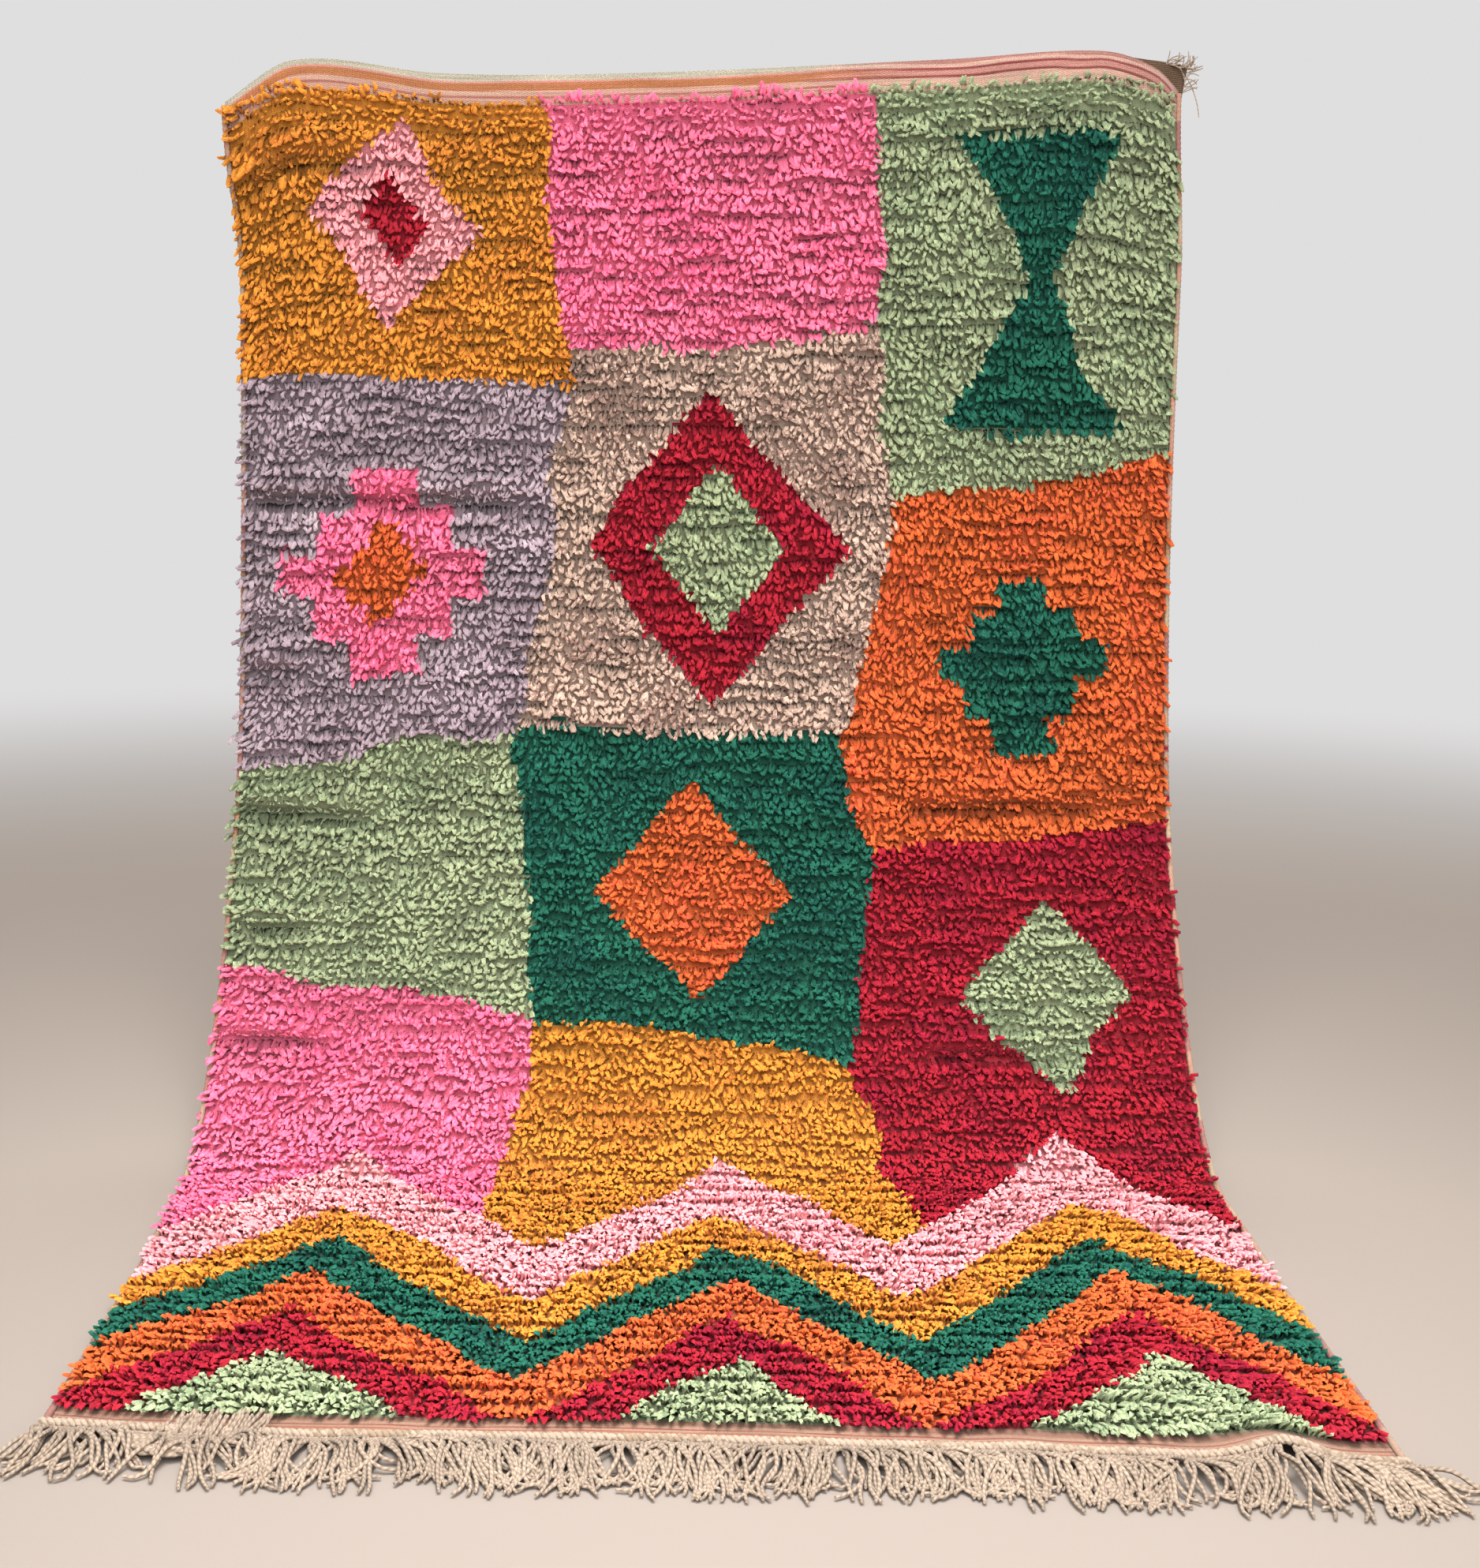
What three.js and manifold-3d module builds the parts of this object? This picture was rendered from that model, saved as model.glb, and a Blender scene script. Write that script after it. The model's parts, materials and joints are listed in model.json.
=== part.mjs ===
// Pile rug of hand-spun wool, held up along its top edge, its front end swept forward onto the floor.
// Millimetres, +Z up. The pile faces -Y. The origin is on the floor, under the middle of the whole thing.
import * as THREE from 'three';
import { mergeVertices } from 'three/addons/utils/BufferGeometryUtils.js';
import Module from 'manifold-3d';

const wasm = await Module();
wasm.setup();

// Driving dimensions
const WIDTH = 1500;
const BACK_Y = 732;
const HEADING = 40;
const WEAVE_THICK = 4;
const SELVEDGE_WIDE = 10;
const SELVEDGE_THICK = 7;
const SELVEDGE_ROUNDING = 2;
const CORD_WIDE = 9;
const CORD_THICK = 9;
const GAP = 0.3;
const CLOTH_HALF = WIDTH / 2 - SELVEDGE_WIDE - GAP;

// Grid of the cloth: columns across, longest and shortest step between rows, first column in from a rim
const COLUMNS = 20;
const ROW_STEP = 50;
const ROWS_APART = 5;
const RIM_INSET = 16;

// Side view of the underside: reach is how far forward of the held edge, height is above the floor
const HELD = { reach: 0, height: 1640 };
const DROP_HANDLES = [{ reach: 6, height: 1300 }, { reach: 6, height: 900 }];
const KNEE = { reach: 81, height: 600 };
const SWEEP_HANDLES = [{ reach: 125, height: 370 }, { reach: 400, height: 0 }];
const TOUCHDOWN = { reach: 600, height: 0 };
const FLAT_BELOW = 0.01;
const FRONT_REACH = 1349;
const PAST_FRONT = 300;

// Depth of pile off the underside, where it hangs down flat and where it stands up on the floor
const PILE_HANGING = 19;
const PILE_LYING = 25;
const PILE_AT_RIM = 12;
const PILE_STEP = 8;
const PILE_RISES_OVER = 350;
const RIM_ROUNDING = 30;
const RAGGED_CELL = 30;
const LUMPS = [
  { cellAcross: 120, cellAlong: 58, high: 4.5 },
  { cellAcross: 60, cellAlong: 31, high: 2.25 },
];

// Shape of the top edge: rise is above or below the held height, out is forward of the drop, side is outward
const TOP_EDGE = [
  { across: -750, rise: -78, out: 52, side: -16 },
  { across: -657, rise: -2, out: 8, side: -6 },
  { across: -430, rise: -15, out: 0, side: 0 },
  { across: -134, rise: -8, out: 3, side: 0 },
  { across: 364, rise: 26, out: -4, side: 0 },
  { across: 605, rise: 44, out: 0, side: 0 },
  { across: 700, rise: 24, out: -24, side: -2 },
  { across: 750, rise: -12, out: -46, side: -4 },
];
const RISE_FADES = 620;
const CORNER_FADES = 300;

// Extra length of the lying end, a little more on the right than on the left
const FRONT_EDGE = [
  { across: -750, extra: -58 },
  { across: -535, extra: -28 },
  { across: -270, extra: -8 },
  { across: 0, extra: 6 },
  { across: 340, extra: 14 },
  { across: 750, extra: 24 },
];

// Broad swells of the hanging cloth: out is forward, wide and long are the reach of each swell
const SWELLS = [
  { across: -560, along: 770, wide: 150, long: 100, out: 14 },
  { across: -320, along: 720, wide: 60, long: 420, out: -13 },
  { across: 180, along: 420, wide: 260, long: 260, out: 12 },
  { across: 650, along: 620, wide: 130, long: 330, out: -12 },
  { across: 40, along: 1190, wide: 320, long: 160, out: 12 },
  { across: -660, along: 1300, wide: 160, long: 80, out: 14 },
  { across: 560, along: 1380, wide: 160, long: 90, out: 10 },
];
const SWELLS_FADE_BELOW = 160;

// Creases across the hanging part, where the slack cloth buckles and the pile parts
const CREASES = [
  { along: 160, from: -760, to: -500, deep: 9 },
  { along: 686, from: -760, to: -270, deep: 10 },
  { along: 960, from: -760, to: -610, deep: 10 },
  { along: 1160, from: 290, to: 660, deep: 8 },
  { along: 1186, from: -760, to: -500, deep: 10 },
  { along: 1380, from: -760, to: -570, deep: 8 },
  { along: 1572, from: -760, to: -540, deep: 11 },
  { along: 1584, from: 300, to: 570, deep: 9 },
];
const CREASE_HALF_WIDE = 15;
const CREASE_GROOVE = 10.5;
const CREASE_END = { beyond: 10, within: 60 };

// Ripples of the front heading where it stands off the floor
const RIPPLES = [
  { across: 620, wide: 60, lift: 15 },
  { across: 330, wide: 40, lift: 3 },
];
const RIPPLE_LONG = 55;

// Locks of pile that hang over the two side edges
const LOCK_PITCH = 64;
const LOCK_WIDE = 22;
const LOCK_THICK = 8;
const LOCK_REACH = 17;
const LOCK_REACH_VARIES = 0.45;
const LOCK_DROP = 30;
const LOCK_DROP_VARIES = 0.3;
const LOCK_ROOT_IN = 2;
const LOCK_STRAY = 8;
const LOCK_STEPS = [
  { out: 0, down: 0, size: 1, lift: 0.6 },
  { out: 0.75, down: 0.35, size: 0.85, lift: 0.4 },
  { out: 1, down: 1, size: 0.3, lift: 0.1 },
];

// Fringe of warp ends
const STRANDS = 150;
const STRAND_WIDE = 6;
const STRAND_TIP_WIDE = 3;
const STRAND_HIGH = 4.6;
const STRAND_TIP_HIGH = 3;
const STRAND_LONG = 118;
const STRAND_LONG_WAVE = { size: 0.1, length: 71 };
const STRAND_LONG_VARIES = 0.09;
const STRAND_STEPS = 3;
const STRAND_CURL = 2.2;
const STRAND_BEND = 1.3;
const STRAND_LANDS_AT = 0.6;
const SWAYS = [
  { size: 17, length: 38, phase: 0.8 },
  { size: 9, length: 97, phase: 0 },
];
const LEFT_SPLAY = -71;
const RIGHT_SPLAY = 54;
const SPLAY_POWER = 5;

// Section of the edge cord: shares of its width and of its thickness
const CORD_SECTION = [
  { wide: 0, high: 0 },
  { wide: 1, high: 0 },
  { wide: 1.11, high: 0.5 },
  { wide: 0.78, high: 1 },
  { wide: 0.22, high: 1 },
  { wide: 0, high: 0.6 },
];

// Yarn colours
const CRIMSON = 0xa82b41;
const OCHRE = 0xc58322;
const ROSE = 0xe8688f;
const IVORY = 0xcdbea5;

// Which row of scattered numbers each kind of unevenness reads, and how they are scattered
const CHANCE = {
  topEnd: 1,
  frontEnd: 2,
  lockReach: 3,
  lockDrop: 5,
  lockPlace: 9,
  strandLong: 1,
  strandCurl: 4,
};
const SCATTER = { column: 127.1, row: 311.7, start: 74.7, spread: 43758.5453 };
const FIRST_LOCK = 7;
const MERGE_WITHIN = 1e-4;

// The same number between -1 and 1 for the same two cells every time
function scatter(column, row) {
  const wave = Math.sin(column * SCATTER.column + row * SCATTER.row + SCATTER.start) * SCATTER.spread;
  return 2 * (wave - Math.floor(wave)) - 1;
}

// Scattered heights on a lattice, joined smoothly
function lumps(across, along, cellAcross, cellAlong) {
  const column = Math.floor(across / cellAcross);
  const row = Math.floor(along / cellAlong);
  const u = THREE.MathUtils.smoothstep(across / cellAcross - column, 0, 1);
  const v = THREE.MathUtils.smoothstep(along / cellAlong - row, 0, 1);
  const upper = THREE.MathUtils.lerp(scatter(column, row), scatter(column + 1, row), u);
  const lower = THREE.MathUtils.lerp(scatter(column, row + 1), scatter(column + 1, row + 1), u);
  return THREE.MathUtils.lerp(upper, lower, v);
}

// A smooth curve through one column of a table, read at a place across the rug
function readTable(table, column, across) {
  const place = THREE.MathUtils.clamp(across, table[0].across, table[table.length - 1].across);
  let i = 0;
  while (i < table.length - 2 && table[i + 1].across < place) i += 1;
  const here = table[i];
  const next = table[i + 1];
  const before = table[Math.max(i - 1, 0)];
  const after = table[Math.min(i + 2, table.length - 1)];
  const span = next.across - here.across;
  const t = (place - here.across) / span;
  const slopeHere = (next[column] - before[column]) / (next.across - before.across);
  const slopeNext = (after[column] - here[column]) / (after.across - here.across);
  const start = (2 * t ** 3 - 3 * t ** 2 + 1) * here[column] + (t ** 3 - 2 * t ** 2 + t) * span * slopeHere;
  const end = (3 * t ** 2 - 2 * t ** 3) * next[column] + (t ** 3 - t ** 2) * span * slopeNext;
  return start + end;
}

function bell(distance, halfWidth) {
  return Math.exp(-((distance / halfWidth) ** 2));
}

// The side view as one path: a bowed drop, a sweep forward and a flat run on the floor
const sideView = new THREE.Path();
sideView.moveTo(HELD.reach, HELD.height);
for (const [handles, end] of [[DROP_HANDLES, KNEE], [SWEEP_HANDLES, TOUCHDOWN]]) {
  const [first, second] = handles;
  sideView.bezierCurveTo(first.reach, first.height, second.reach, second.height, end.reach, end.height);
}
const TOUCHDOWN_ALONG = sideView.getLength();
const LENGTH = TOUCHDOWN_ALONG + FRONT_REACH - TOUCHDOWN.reach;
sideView.lineTo(FRONT_REACH + PAST_FRONT, 0);
const SIDE_VIEW_LENGTH = LENGTH + PAST_FRONT;

// A place on the rug: across from its middle, along from its held edge, lift off its underside
function place(across, along, lift) {
  const share = along / SIDE_VIEW_LENGTH;
  const point = sideView.getPoint(share);
  const tangent = sideView.getTangent(share);
  const lies = point.y < FLAT_BELOW;
  const normal = lies ? new THREE.Vector2(0, 1) : new THREE.Vector2(-tangent.y, tangent.x);

  const riseLeft = 1 - THREE.MathUtils.smoothstep(along, 0, RISE_FADES);
  const cornerLeft = 1 - THREE.MathUtils.smoothstep(along, 0, CORNER_FADES);
  const rise = readTable(TOP_EDGE, 'rise', across) * riseLeft;
  const hangs = THREE.MathUtils.clamp(point.y / SWELLS_FADE_BELOW, 0, 1);
  let out = readTable(TOP_EDGE, 'out', across) * cornerLeft;
  for (const swell of SWELLS) {
    const near = bell(across - swell.across, swell.wide) * bell(along - swell.along, swell.long);
    out += swell.out * hangs * near;
  }
  const side = readTable(TOP_EDGE, 'side', across) * cornerLeft;

  const frontShare = THREE.MathUtils.clamp((along - TOUCHDOWN_ALONG) / (LENGTH - TOUCHDOWN_ALONG), 0, 1);
  const extra = readTable(FRONT_EDGE, 'extra', across) * frontShare;
  let ripple = 0;
  for (const fold of RIPPLES) {
    ripple += fold.lift * bell(across - fold.across, fold.wide) * bell(along - LENGTH, RIPPLE_LONG);
  }
  if (along < LENGTH - 2 * RIPPLE_LONG) ripple = 0;
  return new THREE.Vector3(
    across + side,
    BACK_Y - (point.x + extra + out + normal.x * lift),
    (lies ? 0 : point.y) + rise + ripple + normal.y * lift,
  );
}

// How thick the rug is at a place: flat-woven headings, lumpy pile between them, pressed in at the creases
function thickness(across, along) {
  const end = along < 2 * HEADING ? CHANCE.topEnd : CHANCE.frontEnd;
  const raggedness = 0.5 * PILE_STEP * scatter(Math.round(across / RAGGED_CELL), end);
  const fromHeading = Math.min(along - HEADING, LENGTH - HEADING - along) + raggedness;
  if (fromHeading < 0) return WEAVE_THICK;
  const lying = THREE.MathUtils.smoothstep(along, TOUCHDOWN_ALONG - PILE_RISES_OVER, TOUCHDOWN_ALONG);
  const pile = THREE.MathUtils.lerp(PILE_HANGING, PILE_LYING, lying);
  const toRim = CLOTH_HALF - Math.abs(across);
  let thick = THREE.MathUtils.lerp(PILE_AT_RIM, pile, THREE.MathUtils.smoothstep(toRim, 0, RIM_ROUNDING));
  for (const size of LUMPS) thick += size.high * lumps(across, along, size.cellAcross, size.cellAlong);
  const { beyond, within } = CREASE_END;
  for (const crease of CREASES) {
    const opens = THREE.MathUtils.smoothstep(across, crease.from - beyond, crease.from + within);
    const closes = THREE.MathUtils.smoothstep(across, crease.to - within, crease.to + beyond);
    thick -= crease.deep * opens * (1 - closes) * bell(along - crease.along, CREASE_GROOVE);
  }
  const step = THREE.MathUtils.smoothstep(fromHeading, 0, PILE_STEP);
  return THREE.MathUtils.lerp(WEAVE_THICK, thick, step);
}

// Places across the rug, closer together beside the rims
function columnPlaces() {
  const inner = CLOTH_HALF - RIM_INSET;
  const steps = COLUMNS - 2;
  const places = [-CLOTH_HALF];
  for (let i = 0; i <= steps; i += 1) places.push(THREE.MathUtils.lerp(-inner, inner, i / steps));
  places.push(CLOTH_HALF);
  return places;
}

// Places along the rug: its ends, the steps of the pile, three rows for each crease, even rows between
function rowPlaces() {
  const step = PILE_STEP;
  const fixed = [0, HEADING - step, HEADING + step, TOUCHDOWN_ALONG];
  fixed.push(LENGTH - HEADING - step, LENGTH - HEADING + step, LENGTH);
  for (const crease of CREASES) {
    fixed.push(crease.along - CREASE_HALF_WIDE, crease.along, crease.along + CREASE_HALF_WIDE);
  }
  fixed.sort((a, b) => a - b);
  const spaced = fixed.filter((along, i) => i === 0 || along - fixed[i - 1] > ROWS_APART);
  const rows = [spaced[0]];
  for (let i = 1; i < spaced.length; i += 1) {
    const parts = Math.max(1, Math.round((spaced[i] - spaced[i - 1]) / ROW_STEP));
    for (let k = 1; k <= parts; k += 1) {
      rows.push(THREE.MathUtils.lerp(spaced[i - 1], spaced[i], k / parts));
    }
  }
  return rows;
}

const ACROSS = columnPlaces();
const ALONG = rowPlaces();

// A closed shell whose upper and under faces share one grid of rows and columns
function slab(rows, columns, upper, under) {
  const points = [];
  for (const face of [upper, under]) {
    for (const row of rows) {
      for (const column of columns) points.push(face(column, row));
    }
  }
  const wide = columns.length;
  const layer = rows.length * wide;
  const index = [];
  const quad = (a, b, c, d) => index.push(a, b, c, a, c, d);
  for (let r = 0; r < rows.length - 1; r += 1) {
    for (let c = 0; c < wide - 1; c += 1) {
      const a = r * wide + c;
      quad(a, a + wide, a + wide + 1, a + 1);
      quad(layer + a, layer + a + 1, layer + a + wide + 1, layer + a + wide);
    }
    const left = r * wide;
    const right = left + wide - 1;
    quad(left, layer + left, layer + left + wide, left + wide);
    quad(right, right + wide, layer + right + wide, layer + right);
  }
  for (let c = 0; c < wide - 1; c += 1) {
    const last = layer - wide + c;
    quad(c, c + 1, layer + c + 1, layer + c);
    quad(last, layer + last, layer + last + 1, last + 1);
  }
  const geometry = new THREE.BufferGeometry().setFromPoints(points);
  geometry.setIndex(index);
  return geometry;
}

// A closed bar through a row of sections that all have the same number of corners
function bar(sections) {
  const corners = sections[0].length;
  const index = [];
  for (let s = 0; s < sections.length - 1; s += 1) {
    for (let k = 0; k < corners; k += 1) {
      const a = s * corners + k;
      const b = s * corners + ((k + 1) % corners);
      index.push(a, a + corners, b + corners, a, b + corners, b);
    }
  }
  const last = (sections.length - 1) * corners;
  for (let k = 1; k < corners - 1; k += 1) {
    index.push(0, k, k + 1);
    index.push(last, last + k + 1, last + k);
  }
  const geometry = new THREE.BufferGeometry().setFromPoints(sections.flat());
  geometry.setIndex(index);
  return geometry;
}

function toSolid(geometry) {
  const bare = geometry.clone();
  bare.deleteAttribute('normal');
  bare.deleteAttribute('uv');
  const merged = mergeVertices(bare, MERGE_WITHIN);
  return new wasm.Manifold(new wasm.Mesh({
    numProp: 3,
    vertProperties: new Float32Array(merged.attributes.position.array),
    triVerts: new Uint32Array(merged.index.array),
  }));
}

// One body made of a backing and everything rooted in it
function rootedIn(backing, pieces) {
  let whole = toSolid(backing);
  for (const piece of pieces) whole = whole.add(toSolid(piece));
  const mesh = whole.getMesh();
  const geometry = new THREE.BufferGeometry();
  geometry.setAttribute('position', new THREE.Float32BufferAttribute(mesh.vertProperties, 3));
  geometry.setIndex(new THREE.Uint32BufferAttribute(mesh.triVerts, 1));
  return geometry;
}

function finish(name, geometry, color) {
  geometry.computeVertexNormals();
  const material = new THREE.MeshStandardMaterial({ color, roughness: 0.95, metalness: 0 });
  const mesh = new THREE.Mesh(geometry, material);
  mesh.name = name;
  return mesh;
}

// The woven cloth with its pile, one slab with thin flat-woven ends
function rugCloth() {
  const upper = (across, along) => place(across, along, thickness(across, along));
  const under = (across, along) => place(across, along, 0);
  return slab(ALONG, ACROSS, upper, under);
}

// A lock of pile over the side edge: three sides, two lengths, thick at its root and thin at its tip
function sideLock(side, along, seed) {
  const root = CLOTH_HALF + GAP + LOCK_ROOT_IN;
  const reach = LOCK_REACH * (1 + LOCK_REACH_VARIES * scatter(seed, CHANCE.lockReach));
  const drop = LOCK_DROP * (1 + LOCK_DROP_VARIES * scatter(seed, CHANCE.lockDrop));
  const sections = LOCK_STEPS.map((step) => {
    const across = root + step.out * reach;
    const middle = along + step.down * drop;
    const half = (LOCK_WIDE / 2) * step.size;
    const ring = [
      place(side * across, middle - half, step.lift),
      place(side * across, middle + half, step.lift),
      place(side * (across + step.out * LOCK_ROOT_IN), middle, step.lift + LOCK_THICK * step.size),
    ];
    return side > 0 ? ring : ring.reverse();
  });
  return bar(sections);
}

// The bound side edge with the locks that are rooted along it
function selvedge(side) {
  const inner = CLOTH_HALF + GAP;
  const outer = WIDTH / 2;
  const columns = side > 0 ? [inner, outer] : [-outer, -inner];
  const rounding = (across) => (Math.abs(across) > inner ? SELVEDGE_ROUNDING : 0);
  const upper = (across, along) => place(across, along, SELVEDGE_THICK - rounding(across));
  const under = (across, along) => place(across, along, 0);
  const strip = slab(ALONG, columns, upper, under);
  const locks = [];
  const first = HEADING + LOCK_WIDE;
  const last = LENGTH - HEADING - LOCK_WIDE - LOCK_DROP;
  const count = Math.round((last - first) / LOCK_PITCH);
  for (let i = 0; i <= count; i += 1) {
    const seed = side * (i + FIRST_LOCK);
    const stray = LOCK_STRAY * scatter(seed, CHANCE.lockPlace);
    locks.push(sideLock(side, THREE.MathUtils.lerp(first, last, i / count) + stray, seed));
  }
  return rootedIn(strip, locks);
}

// A strand of the fringe: three sides, its flat side down on the floor all the way
function strand(across, seed) {
  const share = across / (WIDTH / 2);
  let sway = (share < 0 ? LEFT_SPLAY : RIGHT_SPLAY) * Math.abs(share) ** SPLAY_POWER;
  for (const wave of SWAYS) sway += wave.size * Math.sin(across / wave.length + wave.phase);
  const longer = STRAND_LONG_WAVE.size * Math.sin(across / STRAND_LONG_WAVE.length);
  const long = STRAND_LONG * (1 + longer + STRAND_LONG_VARIES * scatter(seed, CHANCE.strandLong));
  const rootAlong = LENGTH + GAP + CORD_WIDE / 2;
  const root = place(across, LENGTH + GAP, 0);
  const curl = STRAND_CURL * scatter(seed, CHANCE.strandCurl);
  const sections = [];
  for (let i = 0; i < STRAND_STEPS; i += 1) {
    const t = i / (STRAND_STEPS - 1);
    const aside = across + sway * t ** STRAND_BEND + curl * Math.sin(t * Math.PI);
    const half = THREE.MathUtils.lerp(STRAND_WIDE, STRAND_TIP_WIDE, t) / 2;
    const { y } = place(across, rootAlong + long * t, 0);
    const floor = root.z * (1 - THREE.MathUtils.smoothstep(t, 0, STRAND_LANDS_AT));
    const high = floor + THREE.MathUtils.lerp(STRAND_HIGH, STRAND_TIP_HIGH, t);
    sections.push([
      new THREE.Vector3(aside - half, y, floor),
      new THREE.Vector3(aside, y, high),
      new THREE.Vector3(aside + half, y, floor),
    ]);
  }
  return bar(sections);
}

// The twined edge cord along the front heading, with the warp ends that are rooted in it
function fringe() {
  const start = LENGTH + GAP;
  const half = WIDTH / 2;
  const sections = [-half, ...ACROSS, half].map((across) => (
    CORD_SECTION.map(({ wide, high }) => place(across, start + wide * CORD_WIDE, high * CORD_THICK))
  ));
  const outermost = half - STRAND_WIDE;
  const strands = [];
  for (let i = 0; i < STRANDS; i += 1) {
    strands.push(strand(THREE.MathUtils.lerp(-outermost, outermost, i / (STRANDS - 1)), i));
  }
  return rootedIn(bar(sections), strands);
}

const rug = new THREE.Group();
rug.add(finish('rug_cloth', rugCloth(), CRIMSON));
rug.add(finish('left_selvedge', selvedge(-1), OCHRE));
rug.add(finish('right_selvedge', selvedge(1), ROSE));
rug.add(finish('fringe', fringe(), IVORY));

export default rug;
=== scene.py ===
# %% Frame
import bmesh
import bpy
import json
import math
import numpy as np
from mathutils import Matrix, Vector

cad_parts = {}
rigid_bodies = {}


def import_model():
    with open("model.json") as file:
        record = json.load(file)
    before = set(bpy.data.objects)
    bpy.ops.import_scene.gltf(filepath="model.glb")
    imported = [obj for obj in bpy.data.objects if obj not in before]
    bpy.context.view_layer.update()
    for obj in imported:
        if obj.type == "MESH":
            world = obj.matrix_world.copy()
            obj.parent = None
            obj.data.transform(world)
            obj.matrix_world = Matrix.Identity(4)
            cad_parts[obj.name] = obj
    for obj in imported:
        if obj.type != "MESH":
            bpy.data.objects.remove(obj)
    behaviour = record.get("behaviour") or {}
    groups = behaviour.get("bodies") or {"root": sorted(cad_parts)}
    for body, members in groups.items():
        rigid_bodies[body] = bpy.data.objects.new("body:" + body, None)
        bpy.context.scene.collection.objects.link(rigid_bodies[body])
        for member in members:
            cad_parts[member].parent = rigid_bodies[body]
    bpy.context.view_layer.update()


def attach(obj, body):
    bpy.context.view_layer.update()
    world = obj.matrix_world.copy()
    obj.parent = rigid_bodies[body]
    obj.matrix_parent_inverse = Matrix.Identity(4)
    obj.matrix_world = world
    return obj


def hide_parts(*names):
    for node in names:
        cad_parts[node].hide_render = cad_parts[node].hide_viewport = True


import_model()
scene = bpy.context.scene


def new_object(name, data):
    made = bpy.data.objects.new(name, data)
    scene.collection.objects.link(made)
    return made


# %% [markdown]
# The photograph shows the rug a little from its left, from about a metre up. A camera in Blender looks
# along its own -Z with +Y up, so it can be placed by one matrix whose columns are its right, its up and its
# backward direction. The angles and the lens came from the lines of the rug in the photograph: a long lens
# and a low tilt, which keep the hanging part nearly as wide at its foot as at its top.

# %% Camera
PHOTO_TALL = 1987
FOCAL_PIXELS = 2800
FILM = 36.0
CAMERA_PLACE = Vector((-0.066, -2.877, 1.0995))
TURN_RIGHT = 0.0343
TILT_DOWN = 0.1634
ROLL = -0.0195


def camera_matrix(place, turn, tilt, roll):
    forward = Vector((math.sin(turn) * math.cos(tilt), math.cos(turn) * math.cos(tilt), -math.sin(tilt)))
    level = Vector((math.cos(turn), -math.sin(turn), 0.0))
    down = forward.cross(level)
    right = level * math.cos(roll) + down * math.sin(roll)
    up = level * math.sin(roll) - down * math.cos(roll)
    matrix = Matrix((right, up, -forward)).transposed().to_4x4()
    matrix.translation = place
    return matrix


camera_data = bpy.data.cameras.new("camera")
camera_data.sensor_width = FILM
camera_data.lens = FILM * FOCAL_PIXELS / PHOTO_TALL
camera = new_object("camera", camera_data)
camera.matrix_world = camera_matrix(CAMERA_PLACE, TURN_RIGHT, TILT_DOWN, ROLL)
scene.camera = camera
print("lens", round(camera_data.lens, 2), "mm")

# %% [markdown]
# Materials and Geometry Nodes trees are both built in code. One helper makes a node, sets its options and
# fills its sockets by name, with a value or a link, so building a tree reads like a list of its nodes. A
# number that changes over a surface gets plain arithmetic: adding or multiplying two of them makes the Math
# node that does it, so a formula stays one line. The same helpers serve shaders and geometry.

# %% Node helpers
def put(tree, socket, value):
    """Fill a socket with a value, or link it to where the value comes from."""
    value = getattr(value, "socket", value)
    if isinstance(value, bpy.types.NodeSocket):
        tree.links.new(value, socket)
    else:
        socket.default_value = value


def node(tree, kind, **settings):
    """A new node. Settings named like one of its properties are set, all others go to its sockets."""
    made = tree.nodes.new(kind)
    options = [name for name in settings if hasattr(made, name)]
    for name in options:
        setattr(made, name, settings.pop(name))
    for name, value in settings.items():
        wanted = name.replace("_", " ").lower()
        put(tree, next(s for s in made.inputs if s.enabled and s.name.lower() == wanted), value)
    return made


class Number:
    """A number that changes from place to place. Arithmetic on it adds Math nodes to its tree."""

    def __init__(self, tree, socket):
        self.tree, self.socket = tree, socket

    def math(self, operation, *others):
        return math_node(self.tree, operation, self, *others)

    def __add__(self, other):
        return self.math("ADD", other)

    def __sub__(self, other):
        return self.math("SUBTRACT", other)

    def __rsub__(self, other):
        return math_node(self.tree, "SUBTRACT", other, self)

    def __mul__(self, other):
        return self.math("MULTIPLY", other)

    def __truediv__(self, other):
        return self.math("DIVIDE", other)

    def times_plus(self, factor, extra):
        return self.math("MULTIPLY_ADD", factor, extra)

    def clamped(self):
        return self.math("MINIMUM", 1.0).math("MAXIMUM", 0.0)


def math_node(tree, operation, *values):
    made = node(tree, "ShaderNodeMath", operation=operation)
    for socket, value in zip(made.inputs, values):
        put(tree, socket, value)
    return Number(tree, made.outputs[0])


def new_group(name, kind, inputs, outputs):
    """A node group, what it is given, and the sockets of its result. Sockets are (name, type, value)."""
    tree = bpy.data.node_groups.new(name, kind)
    for way, sockets in (("INPUT", inputs), ("OUTPUT", outputs)):
        for label, carries, *value in sockets:
            socket = tree.interface.new_socket(name=label, in_out=way, socket_type="NodeSocket" + carries)
            if value:
                socket.default_value = value[0]
    given = {s.name: Number(tree, s) for s in tree.nodes.new("NodeGroupInput").outputs if s.name}
    return tree, given, tree.nodes.new("NodeGroupOutput").inputs


def new_material(name, **values):
    """A material with these values on its shader, its tree, and its shader."""
    material = bpy.data.materials.new(name)
    material.use_nodes = True
    shader = material.node_tree.nodes["Principled BSDF"]
    for label, value in values.items():
        shader.inputs[label.replace("_", " ")].default_value = value
    return material, material.node_tree, shader


def object_place(tree):
    return node(tree, "ShaderNodeTexCoord").outputs["Object"]
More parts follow.
